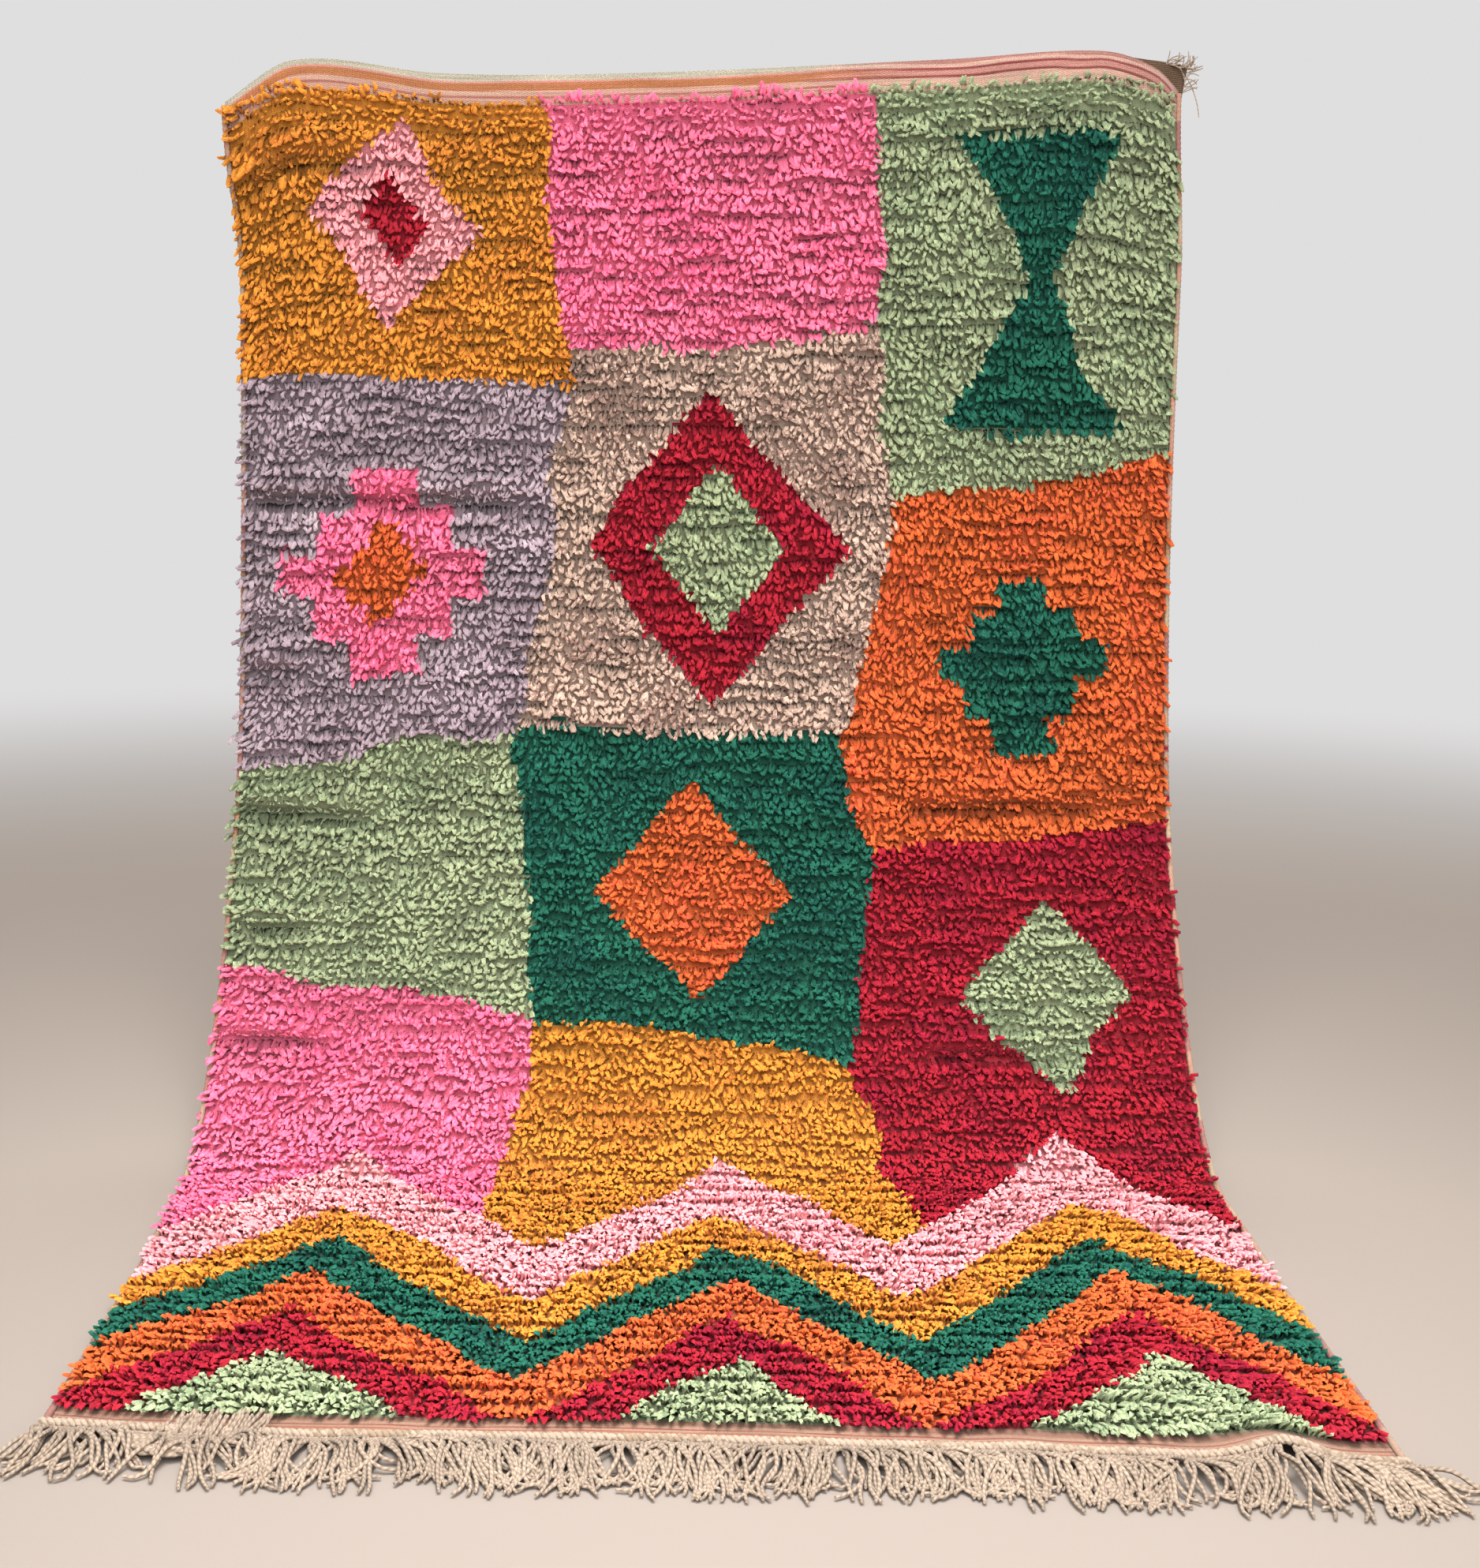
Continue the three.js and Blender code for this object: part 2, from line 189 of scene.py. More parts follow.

# %% [markdown]
# Wool takes soft light best: a broad light above and in front lets each row of the pile throw a short
# shadow on the row below, and a bright plain world fills those shadows. The floor is plain and pale. Far
# from the rug it turns into the tone of the world, by a mask on its distance, so no horizon cuts the
# picture. The Standard view keeps the dyes strong.

# %% Studio
SOFT_LIGHTS = {
    "key": {"place": (-0.5, -3.2, 4.0), "aim": (0.0, 0.0, 0.7), "size": 3.8, "power": 250},
    "front": {"place": (0.8, -4.8, 1.8), "aim": (0.0, 0.4, 0.8), "size": 3.6, "power": 190},
    "floor": {"place": (0.1, -1.4, 3.6), "aim": (0.0, -0.40, 0.0), "size": 2.0, "power": 30, "spread": 60},
    "back": {"place": (0.4, 3.4, 3.2), "aim": (0.0, 0.4, 0.8), "size": 2.6, "power": 120},
}
WORLD_COLOR = (0.93, 0.92, 0.92, 1.0)
WORLD_STRENGTH = 0.80
FLOOR_COLOR = (0.255, 0.217, 0.188, 1.0)
BLACK = (0.0, 0.0, 0.0, 1.0)
FLOOR_HALF = 30.0
FLOOR_BELOW = 0.0015
FADE_FROM = 2.2
FADE_TO = 6.5


def soft_light(name, place, aim, size, power, spread=180):
    data = bpy.data.lights.new(name, "AREA")
    data.spread = math.radians(spread)
    data.shape = "DISK"
    data.size = size
    data.energy = power
    light = new_object(name, data)
    light.location = place
    light.rotation_euler = (Vector(aim) - Vector(place)).to_track_quat("-Z", "Y").to_euler()


def floor_material():
    """Plain paint near the rug, and the tone of the world far from it."""
    values = {"Roughness": 1.0, "Specular IOR Level": 0.0, "Emission Strength": WORLD_STRENGTH}
    material, tree, shader = new_material("floor_paint", **values)
    far = node(tree, "ShaderNodeVectorMath", operation="LENGTH", Vector=object_place(tree)).outputs["Value"]
    fade = node(tree, "ShaderNodeMapRange", interpolation_type="SMOOTHSTEP", Value=far,
                From_Min=FADE_FROM, From_Max=FADE_TO).outputs["Result"]
    for label, colors in (("Base Color", (FLOOR_COLOR, BLACK)), ("Emission Color", (BLACK, WORLD_COLOR))):
        ramp = node(tree, "ShaderNodeValToRGB", Fac=fade)
        for element, color in zip(ramp.color_ramp.elements, colors):
            element.color = color
        put(tree, shader.inputs[label], ramp.outputs["Color"])
    return material


for light_name, facts in SOFT_LIGHTS.items():
    soft_light(light_name, **facts)

world = bpy.data.worlds.new("studio")
world.use_nodes = True
world.node_tree.nodes["Background"].inputs["Color"].default_value = WORLD_COLOR
world.node_tree.nodes["Background"].inputs["Strength"].default_value = WORLD_STRENGTH
scene.world = world
scene.view_settings.view_transform = "Standard"

floor_mesh = bpy.data.meshes.new("floor")
corners = [(-1, -1), (1, -1), (1, 1), (-1, 1)]
places = [(FLOOR_HALF * x, FLOOR_HALF * y, -FLOOR_BELOW) for x, y in corners]
floor_mesh.from_pydata(places, [], [(0, 1, 2, 3)])
floor = new_object("floor", floor_mesh)
floor_mesh.materials.append(floor_material())
print("lights", list(SOFT_LIGHTS))

# %% [markdown]
# Everything on this rug follows one curved sheet, so the sheet is a function first and a mesh second. A
# place on the rug has two numbers, how far it lies across from the middle and how far along from the held
# edge, and the function gives its point in space. One long sheet could be dropped by a cloth simulation
# too, but here the drop, the sweep and the creases are known, so short tables say them more exactly. The
# side view is two Bezier curves and a straight run on the floor, and the tables add what is uneven.

# %% The drape
WIDTH = 1.50
BACK_Y = 0.732
HELD = (0.0, 1.640)
KNEE = (0.081, 0.600)
TOUCHDOWN = (0.600, 0.0)
FRONT_REACH = 1.349
PAST_FRONT = 0.300
HEADING = 0.040
WEAVE_THICK = 0.0034

TOP_EDGE = {
    "across": (-0.750, -0.657, -0.430, -0.134, 0.364, 0.605, 0.700, 0.750),
    "rise": (-0.078, -0.002, -0.015, -0.008, 0.026, 0.044, 0.024, -0.012),
    "out": (0.052, 0.008, 0.0, 0.003, -0.004, 0.0, -0.024, -0.046),
    "side": (-0.016, -0.006, 0.0, 0.0, 0.0, 0.0, -0.002, -0.004),
}
FRONT_EDGE = {
    "across": (-0.750, -0.535, -0.270, 0.0, 0.340, 0.750),
    "extra": (-0.030, -0.008, -0.001, 0.008, 0.026, 0.054),
    "side": (0.0110, 0.0030, 0.0, 0.0, 0.0, -0.0035),
}
RISE_FADES = 0.620
CORNER_FADES = 0.300
LYING_NARROWS = 0.300

SWELLS = [
    {"across": -0.560, "along": 0.770, "wide": 0.150, "long": 0.100, "out": 0.014},
    {"across": -0.320, "along": 0.720, "wide": 0.060, "long": 0.420, "out": -0.013},
    {"across": 0.180, "along": 0.420, "wide": 0.260, "long": 0.260, "out": 0.012},
    {"across": 0.650, "along": 0.620, "wide": 0.130, "long": 0.330, "out": -0.012},
    {"across": 0.040, "along": 1.190, "wide": 0.320, "long": 0.160, "out": 0.012},
    {"across": -0.660, "along": 1.300, "wide": 0.160, "long": 0.080, "out": 0.014},
    {"across": 0.560, "along": 1.380, "wide": 0.160, "long": 0.090, "out": 0.010},
]
SWELLS_FADE_BELOW = 0.160

CREASES = [
    {"along": 0.160, "start": -0.76, "end": -0.50, "deep": 0.0126, "slope": -0.040},
    {"along": 0.686, "start": -0.76, "end": -0.27, "deep": 0.0154, "slope": -0.015},
    {"along": 0.960, "start": -0.76, "end": -0.61, "deep": 0.0154, "slope": 0.020},
    {"along": 1.160, "start": 0.29, "end": 0.66, "deep": 0.0112, "slope": 0.010},
    {"along": 1.184, "start": -0.76, "end": -0.50, "deep": 0.0154, "slope": 0.060},
    {"along": 1.380, "start": -0.76, "end": -0.57, "deep": 0.0098, "slope": -0.020},
    {"along": 1.566, "start": -0.76, "end": -0.54, "deep": 0.0168, "slope": 0.050},
    {"along": 1.584, "start": 0.30, "end": 0.57, "deep": 0.0126, "slope": 0.0},
]
CREASE_OPENS = (-0.01, 0.06)
CREASE_CLOSES = (-0.10, 0.02)
CREASE_WANDER = 0.005
CREASE_WIDE = 0.011
LEDGE_ABOVE = 0.030
LEDGE_WIDE = 0.020
LEDGE_SHARE = 0.8

RIPPLES = [
    {"across": 0.612, "wide": 0.045, "lift": 0.021},
    {"across": 0.330, "wide": 0.040, "lift": 0.003},
]
RIPPLE_LONG = 0.055
SLOPE_STEP = 0.004


def bezier(a, b, c, d, steps=1500):
    t = np.linspace(0.0, 1.0, steps)[:, None]
    a, b, c, d = (np.array(corner, float) for corner in (a, b, c, d))
    return (1 - t) ** 3 * a + 3 * (1 - t) ** 2 * t * b + 3 * (1 - t) * t**2 * c + t**3 * d


drop = bezier(HELD, (0.006, 1.300), (0.006, 0.900), KNEE)
sweep = bezier(KNEE, (0.125, 0.370), (0.400, 0.0), TOUCHDOWN)
side_view = np.vstack([drop, sweep[1:], [(FRONT_REACH, 0.0)], [(FRONT_REACH + PAST_FRONT, 0.0)]])
side_along = np.concatenate([[0.0], np.cumsum(np.linalg.norm(np.diff(side_view, axis=0), axis=1))])
TOUCHDOWN_ALONG, LENGTH = float(side_along[-3]), float(side_along[-2])
print("length along the cloth", round(LENGTH, 3), "m, on the floor from", round(TOUCHDOWN_ALONG, 3))

# %% [markdown]
# A table gives a value at a few places, and a smooth curve has to pass through them. A Hermite curve does
# it with the slope at each row taken from its two neighbours, so it needs no library.

# %% Helpers of the drape
def read_table(table, column, across):
    """The value of a table's column at each place across."""
    places = np.array(table["across"])
    values = np.array(table[column])
    spot = np.clip(across, places[0], places[-1])
    i = np.clip(np.searchsorted(places, spot) - 1, 0, len(places) - 2)
    span = places[i + 1] - places[i]
    t = (spot - places[i]) / span
    number = np.arange(len(places))
    low, high = np.maximum(number - 1, 0), np.minimum(number + 1, len(places) - 1)
    slopes = (values[high] - values[low]) / (places[high] - places[low])
    near = (2 * t**3 - 3 * t**2 + 1) * values[i] + (t**3 - 2 * t**2 + t) * span * slopes[i]
    far = (3 * t**2 - 2 * t**3) * values[i + 1] + (t**3 - t**2) * span * slopes[i + 1]
    return near + far


def smooth(x, low, high):
    """From 0 at low to 1 at high, without a kink."""
    t = np.clip((x - low) / (high - low), 0.0, 1.0)
    return t * t * (3 - 2 * t)


def bell(distance, half_width):
    return np.exp(-((distance / half_width) ** 2))


def scatter(column, row, seed=0):
    """A random number from -1 to 1 that belongs to a cell of a grid."""
    wave = np.sin(column * 127.1 + row * 311.7 + seed * 74.7 + 12.9) * 43758.5453
    return 2 * (wave - np.floor(wave)) - 1


def drift(x, y, cell_x, cell_y, seed=0):
    """A random number that changes smoothly from cell to cell."""
    column, row = np.floor(x / cell_x), np.floor(y / cell_y)
    u, v = smooth(x / cell_x - column, 0, 1), smooth(y / cell_y - row, 0, 1)
    upper = scatter(column, row, seed) * (1 - u) + scatter(column + 1, row, seed) * u
    lower = scatter(column, row + 1, seed) * (1 - u) + scatter(column + 1, row + 1, seed) * u
    return upper * (1 - v) + lower * v


def crease_lines(across):
    """For each crease its depth, how far it is open at each place across, and where its line runs."""
    for crease in CREASES:
        opened = smooth(across, *(crease["start"] + far for far in CREASE_OPENS))
        opened = opened * (1 - smooth(across, *(crease["end"] + far for far in CREASE_CLOSES)))
        wander = CREASE_WANDER * drift(across, across * 0 + crease["along"], 0.07, 1.0)
        line = crease["along"] + crease["slope"] * (across - crease["start"]) + wander
        yield crease["deep"], opened, line


def crease_depth(across, along):
    """How far the cloth lies behind its smooth drape: a trough at each crease, a soft ledge above it."""
    deep = np.zeros(np.broadcast(across, along).shape)
    for depth, opened, line in crease_lines(across):
        trough = bell(along - line, CREASE_WIDE)
        ledge = bell(along - line + LEDGE_ABOVE, LEDGE_WIDE)
        deep = deep + depth * opened * (trough - LEDGE_SHARE * ledge)
    return deep


def drape(across, along, lift):
    """Points (n, 3) of the rug at places across and along, lifted off its underside."""
    across, along, lift = np.broadcast_arrays(np.asarray(across, float), np.asarray(along, float), lift)
    spots = (along, np.minimum(along + SLOPE_STEP, side_along[-1]), np.maximum(along - SLOPE_STEP, 0.0))
    here, ahead, behind = ([np.interp(spot, side_along, line) for line in side_view.T] for spot in spots)
    reach, height = here
    go_out, go_up = (after - before for before, after in zip(behind, ahead))
    size = np.hypot(go_out, go_up)
    normal_out, normal_up = -go_up / size, go_out / size

    rise = read_table(TOP_EDGE, "rise", across) * (1 - smooth(along, 0, RISE_FADES))
    corner = 1 - smooth(along, 0, CORNER_FADES)
    hangs = np.clip(height / SWELLS_FADE_BELOW, 0, 1)
    out = read_table(TOP_EDGE, "out", across) * corner - crease_depth(across, along) * hangs
    for swell in SWELLS:
        spread = bell(across - swell["across"], swell["wide"]) * bell(along - swell["along"], swell["long"])
        out = out + swell["out"] * hangs * spread
    side = read_table(TOP_EDGE, "side", across) * corner
    lies = smooth(along, TOUCHDOWN_ALONG, TOUCHDOWN_ALONG + LYING_NARROWS)
    side = side + read_table(FRONT_EDGE, "side", across) * lies
    front_share = np.clip((along - TOUCHDOWN_ALONG) / (LENGTH - TOUCHDOWN_ALONG), 0, 1)
    extra = read_table(FRONT_EDGE, "extra", across) * front_share
    ripple = 0.0
    for fold in RIPPLES:
        wave = fold["lift"] * bell(across - fold["across"], fold["wide"])
        ripple = ripple + wave * bell(along - LENGTH, RIPPLE_LONG)
    x = across + side
    y = BACK_Y - (reach + extra + out + normal_out * lift)
    z = height + rise + ripple + normal_up * lift
    return np.stack([x, y, z], -1)


middle = drape(0.0, np.array([0.0, LENGTH / 2, LENGTH]), 0.0)
print("middle line, held edge to front", np.round(middle, 3).tolist())

# %% [markdown]
# The pattern of a knotted rug lives in its knots: the weaver changes yarn from one knot to the next, so
# every outline is stepped and a little wobbly. It could be painted on the surface, but then no lock of pile
# would have a colour of its own. Here a list of fields, laid one over the other like cut paper, is asked
# once for each knot. The layout is a plain patchwork with common motifs, lozenges, an hourglass and zigzags,
# in the colours and at the scale of the real one. Sizes are in centimetres from the top left corner.

# %% The yarns and the layout
YARNS = {
    "crimson": {"color": (156, 33, 46), "fleck": (128, 24, 43), "share": 0.02},
    "sand": {"color": (187, 160, 143), "fleck": (136, 110, 99), "share": 0.03},
    "lilac_grey": {"color": (153, 135, 142), "fleck": (164, 148, 153), "share": -0.10},
    "forest": {"color": (34, 92, 74), "fleck": (23, 67, 57), "share": 0.0},
    "rose": {"color": (241, 114, 145), "fleck": (218, 90, 123), "share": 0.0},
    "sage": {"color": (150, 160, 124), "fleck": (119, 132, 101), "share": 0.0},
    "ochre": {"color": (207, 133, 51), "fleck": (174, 104, 44), "share": 0.0},
    "orange": {"color": (202, 95, 49), "fleck": (186, 77, 47), "share": 0.0},
    "blush": {"color": (236, 152, 156), "fleck": (228, 136, 142), "share": 0.0},
}
YARN_NAMES = list(YARNS)

FIELDS = [
    ("ochre", [(0, 0), (47, 0), (52, 50), (0, 46)]),
    ("rose", [(47, 0), (99, 0), (102, 40), (51, 44)]),
    ("sage", [(99, 0), (150, 0), (150, 58), (104, 66)]),
    ("lilac_grey", [(0, 46), (52, 50), (45, 104), (0, 112)]),
    ("sand", [(51, 44), (102, 40), (104, 66), (97, 104), (45, 104), (52, 50)]),
    ("orange", [(104, 66), (150, 58), (150, 116), (101, 123), (97, 104)]),
    ("sage", [(0, 112), (45, 104), (49, 152), (0, 144)]),
    ("forest", [(45, 104), (97, 104), (101, 123), (98, 160), (49, 152)]),
    ("crimson", [(101, 123), (150, 116), (150, 215), (108, 215), (98, 160)]),
    ("rose", [(0, 144), (49, 152), (41, 215), (0, 215)]),
    ("ochre", [(49, 152), (98, 160), (108, 215), (41, 215)]),
]
MOTIFS = [
    {"yarn": "blush", "form": "lozenge", "middle": (24, 24), "half": (14, 17)},
    {"yarn": "crimson", "form": "lozenge", "middle": (24, 24), "half": (6, 8)},
    {"yarn": "forest", "form": "hourglass", "middle": (127, 33), "half": (14, 21)},
    {"yarn": "rose", "form": "steps", "middle": (23, 79), "half": (16, 21)},
    {"yarn": "orange", "form": "steps", "middle": (23, 79), "half": (7, 10)},
    {"yarn": "crimson", "form": "lozenge", "middle": (75, 74), "half": (21, 25)},
    {"yarn": "sage", "form": "lozenge", "middle": (75, 74), "half": (11, 13)},
    {"yarn": "forest", "form": "steps", "middle": (126, 92), "half": (13, 17)},
    {"yarn": "orange", "form": "lozenge", "middle": (73, 131), "half": (16, 19)},
    {"yarn": "sage", "form": "lozenge", "middle": (128, 148), "half": (13, 18)},
]
ZIGZAG = {"u": (0, 24, 52, 77, 100, 127, 150), "v": (13, -15, 17, -14, 16, -17, 12)}
BANDS = {190: "blush", 208: "ochre", 220: "forest", 231: "orange", 243: "crimson", 255: "sage"}
HAND_WOBBLE = 1.7
HOURGLASS_WAIST = 0.12
STEPS = 3.0


def inside_outline(u, v, corners):
    hit = np.zeros(np.shape(u), bool)
    for (u0, v0), (u1, v1) in zip(corners, corners[1:] + corners[:1]):
        if v0 != v1:
            crosses = (v0 > v) != (v1 > v)
            hit ^= crosses & (u < u0 + (u1 - u0) * (v - v0) / (v1 - v0))
    return hit


def inside_motif(u, v, form, middle, half):
    du = np.abs(u - middle[0]) / half[0]
    dv = np.abs(v - middle[1]) / half[1]
    if form == "hourglass":
        return (du < HOURGLASS_WAIST + (1 - HOURGLASS_WAIST) * dv) & (dv < 1)
    if form == "steps":
        return du + np.round(dv * STEPS) / STEPS < 1
    return du + dv < 1


def yarn_at(across, along):
    """The number of the yarn of the knot at each place."""
    u = (across + WIDTH / 2) * 100 + HAND_WOBBLE * drift(across, along, 0.20, 0.09, 3)
    u = np.clip(u, 0.1, WIDTH * 100 - 0.1)
    v = np.maximum(along * 100 + HAND_WOBBLE * drift(across, along, 0.12, 0.30, 4), 0.1)
    yarn = np.full(np.shape(u), YARN_NAMES.index("lilac_grey"))
    for name, corners in FIELDS:
        yarn[inside_outline(u, v, corners)] = YARN_NAMES.index(name)
    for motif in MOTIFS:
        hit = inside_motif(u, v, motif["form"], motif["middle"], motif["half"])
        yarn[hit] = YARN_NAMES.index(motif["yarn"])
    for top, name in BANDS.items():
        yarn[v > top + np.interp(u, ZIGZAG["u"], ZIGZAG["v"])] = YARN_NAMES.index(name)
    return yarn


def dye(rgb):
    """A colour given as on a screen, 0 to 255, in the linear values that shaders use, with its alpha."""
    share = np.array(rgb) / 255.0
    return (*np.where(share <= 0.04045, share / 12.92, ((share + 0.055) / 1.055) ** 2.4).tolist(), 1.0)


print(len(FIELDS), "fields,", len(MOTIFS), "motifs,", len(BANDS), "zigzag bands")

# %% [markdown]
# Two effects are needed by more than one material, so each is a shader node group. The fibre group gives
# fine uneven tones and a height for the fuzz of wool. The weave group gives the ribs of a flat weave from
# the piece's own UV map, which is laid out in metres, so the ribs stay at their real size on every fold.

# %% Shader groups
GREY = (0.5, 0.5, 0.5, 1.0)
FIBRE_SCALE = 420.0
BLOTCH_SCALE = 9.0
FLECK_SCALE = 150.0
FLECK_EDGE = 6.0
FLECK_DRIFT = 1.2
NO_FLECKS = -1.0
FINE_TONES = 0.45
CLOUDY_TONES = 0.50
FULL_TURN = 2 * math.pi


def noise(tree, place, scale, detail):
    made = node(tree, "ShaderNodeTexNoise", Vector=place, Scale=scale, Detail=detail)
    return Number(tree, made.outputs["Fac"])


def mix_color(tree, share, first, second):
    mixed = node(tree, "ShaderNodeMix", data_type="RGBA", Factor=share, A=first, B=second)
    return next(s for s in mixed.outputs if s.enabled)


def toned(tree, color, tone):
    return node(tree, "ShaderNodeVectorMath", operation="SCALE", Vector=color, Scale=tone).outputs["Vector"]


def cloth_place(tree):
    """How far across and along the cloth a place lies, in metres, from the piece's UV map."""
    split = node(tree, "ShaderNodeSeparateXYZ", Vector=node(tree, "ShaderNodeUVMap").outputs["UV"])
    return Number(tree, split.outputs["X"]), Number(tree, split.outputs["Y"])


def wool_group():
    """The uneven tone of dyed wool, with flecks of a second dye, and the height of its fuzz."""
    inputs = [("Color", "Color", GREY), ("Fleck", "Color", GREY), ("Fleck Share", "Float", 0.2)]
    outputs = [("Color", "Color"), ("Height", "Float")]
    tree, given, result = new_group("wool_fibre", "ShaderNodeTree", inputs, outputs)
    place = object_place(tree)
    fine = noise(tree, place, FIBRE_SCALE, 1.0)
    cloudy = noise(tree, place, BLOTCH_SCALE, 3.0) - 0.5
    patch = cloudy.times_plus(FLECK_DRIFT, noise(tree, place, FLECK_SCALE, 1.0) - 0.5)
    chosen = ((patch + given["Fleck Share"]) * FLECK_EDGE).clamped()
    color = mix_color(tree, chosen, given["Color"], given["Fleck"])
    tone = (fine - 0.5) * FINE_TONES + cloudy * CLOUDY_TONES + 1.0
    put(tree, result["Color"], toned(tree, color, tone))
    put(tree, result["Height"], fine)
    return tree


def weave_group():
    """The height of a flat weave and where its rows of weft run. Rib and Warp count threads to the metre."""
    inputs = [("Rib", "Float", 500.0), ("Warp", "Float", 250.0)]
    outputs = [("Height", "Float"), ("Rows", "Float")]
    tree, given, result = new_group("flat_weave", "ShaderNodeTree", inputs, outputs)
    across, along = cloth_place(tree)
    warp = (across * given["Warp"] * FULL_TURN).math("SINE")
    over_or_under = warp.math("SIGN") * (math.pi / 2)
    rows = (along * given["Rib"] * FULL_TURN + over_or_under).math("SINE").times_plus(0.5, 0.5)
    put(tree, result["Height"], warp.math("ABSOLUTE") * rows)
    put(tree, result["Rows"], rows)
    return tree


WOOL = wool_group()
WEAVE = weave_group()
print("groups", WOOL.name, WEAVE.name)

# %% [markdown]
# The pile of one colour is one material. Each lock carries numbers from its making: its own tone, since
# hand-dyed yarn is never even, which also holds painted shade at creases and at the edges of tufts and
# painted light where the lock lies on the floor; its share from root to tip; and deep, the painted shade on
# its root at a parting, a crease or a crack between tufts, because roots there sit in the shade of the row
# above. The grooves between the plies get painted shade too. The wool group adds fine flecks. Wool is rough
# and a little velvety, so it has a sheen.

# %% Pile materials
ROOT_FADE = 0.8
PLIES = 4.0
PLY_TWIST = 3.0
PLY_SHIFT = 40.0
GROOVE_PAINTED_SHADE = 0.92


def yarn_material(name, sheen=0.05):
    return new_material(name, Roughness=0.95, Sheen_Weight=sheen, Specular_IOR_Level=0.08)


def attribute(tree, name, output="Fac"):
    return Number(tree, node(tree, "ShaderNodeAttribute", attribute_name=name).outputs[output])


def wool(tree, color, **flecks):
    """The colour and the height of wool of one dye. Without flecks it has that dye alone."""
    flecks = flecks or {"Fleck_Share": NO_FLECKS}
    made = node(tree, "ShaderNodeGroup", node_tree=WOOL, Color=color, **flecks)
    return made.outputs["Color"], Number(tree, made.outputs["Height"])


def finish_shader(tree, shader, color, height, deep, strength):
    bump = node(tree, "ShaderNodeBump", Height=height, Distance=deep, Strength=strength)
    put(tree, shader.inputs["Base Color"], color)
    put(tree, shader.inputs["Normal"], bump.outputs["Normal"])


def pile_material(yarn):
    facts = YARNS[yarn]
    material, tree, shader = yarn_material("pile_" + yarn)
    shader.inputs["Sheen Tint"].default_value = dye(facts["color"])
    color, fuzz = wool(tree, dye(facts["color"]), Fleck=dye(facts["fleck"]), Fleck_Share=facts["share"])
    share, tone, deep = (attribute(tree, name) for name in ("tip_share", "tone", "deep"))
    # Painted shade: the root of each lock is darkened by deep, less and less towards its tip.
    painted_root_shade = 1.0 - (1.0 - share).math("POWER", ROOT_FADE) * deep
    around = attribute(tree, "rim_sine").math("ARCTAN2", attribute(tree, "rim_cosine"))
    twist = share.times_plus(PLY_TWIST, tone * PLY_SHIFT)
    ply = around.times_plus(PLIES, twist).math("SINE").times_plus(0.5, 0.5)
    # Painted shade in the grooves between the plies of each lock.
    ply_groove_shade = ply.times_plus(1.0 - GROOVE_PAINTED_SHADE, GROOVE_PAINTED_SHADE)
    color = toned(tree, color, painted_root_shade * ply_groove_shade * tone)
    finish_shader(tree, shader, color, fuzz.times_plus(0.5, ply), 0.0010, 0.45)
    return material


PILE_MATERIALS = {yarn: pile_material(yarn) for yarn in YARN_NAMES}
print(len(PILE_MATERIALS), "pile materials")

# %% [markdown]
# The ground is the cloth that the knots sit in. It shows in the flat-woven headings, in the partings of the
# pile and all over the back, where each knot shows as a small bar of its own colour between rows of weft.
# It is one closed sheet, made as a grid with a cell for each knot, so a colour for each face gives the back
# its stepped outlines. Its UV map is in metres, across and along the cloth.

# %% Ground sheet
GROUND_COLUMNS = 118
GROUND_ROWS = 224
CREASE_ROWS = 2.5
CREASE_REACH = 0.035
SIDE_INSET = 0.006


def ground_rows():
    """The lines of the grid along the cloth, closer together where a crease bends it."""
    fine = np.linspace(0.0, LENGTH, 2000)
    crowd = np.ones(len(fine))
    for crease in CREASES:
        crowd = np.maximum(crowd, 1 + CREASE_ROWS * bell(fine - crease["along"], CREASE_REACH))
    count = np.concatenate([[0.0], np.cumsum((crowd[1:] + crowd[:-1]) / 2)])
    return np.interp(np.linspace(0, count[-1], GROUND_ROWS + 1), count, fine)


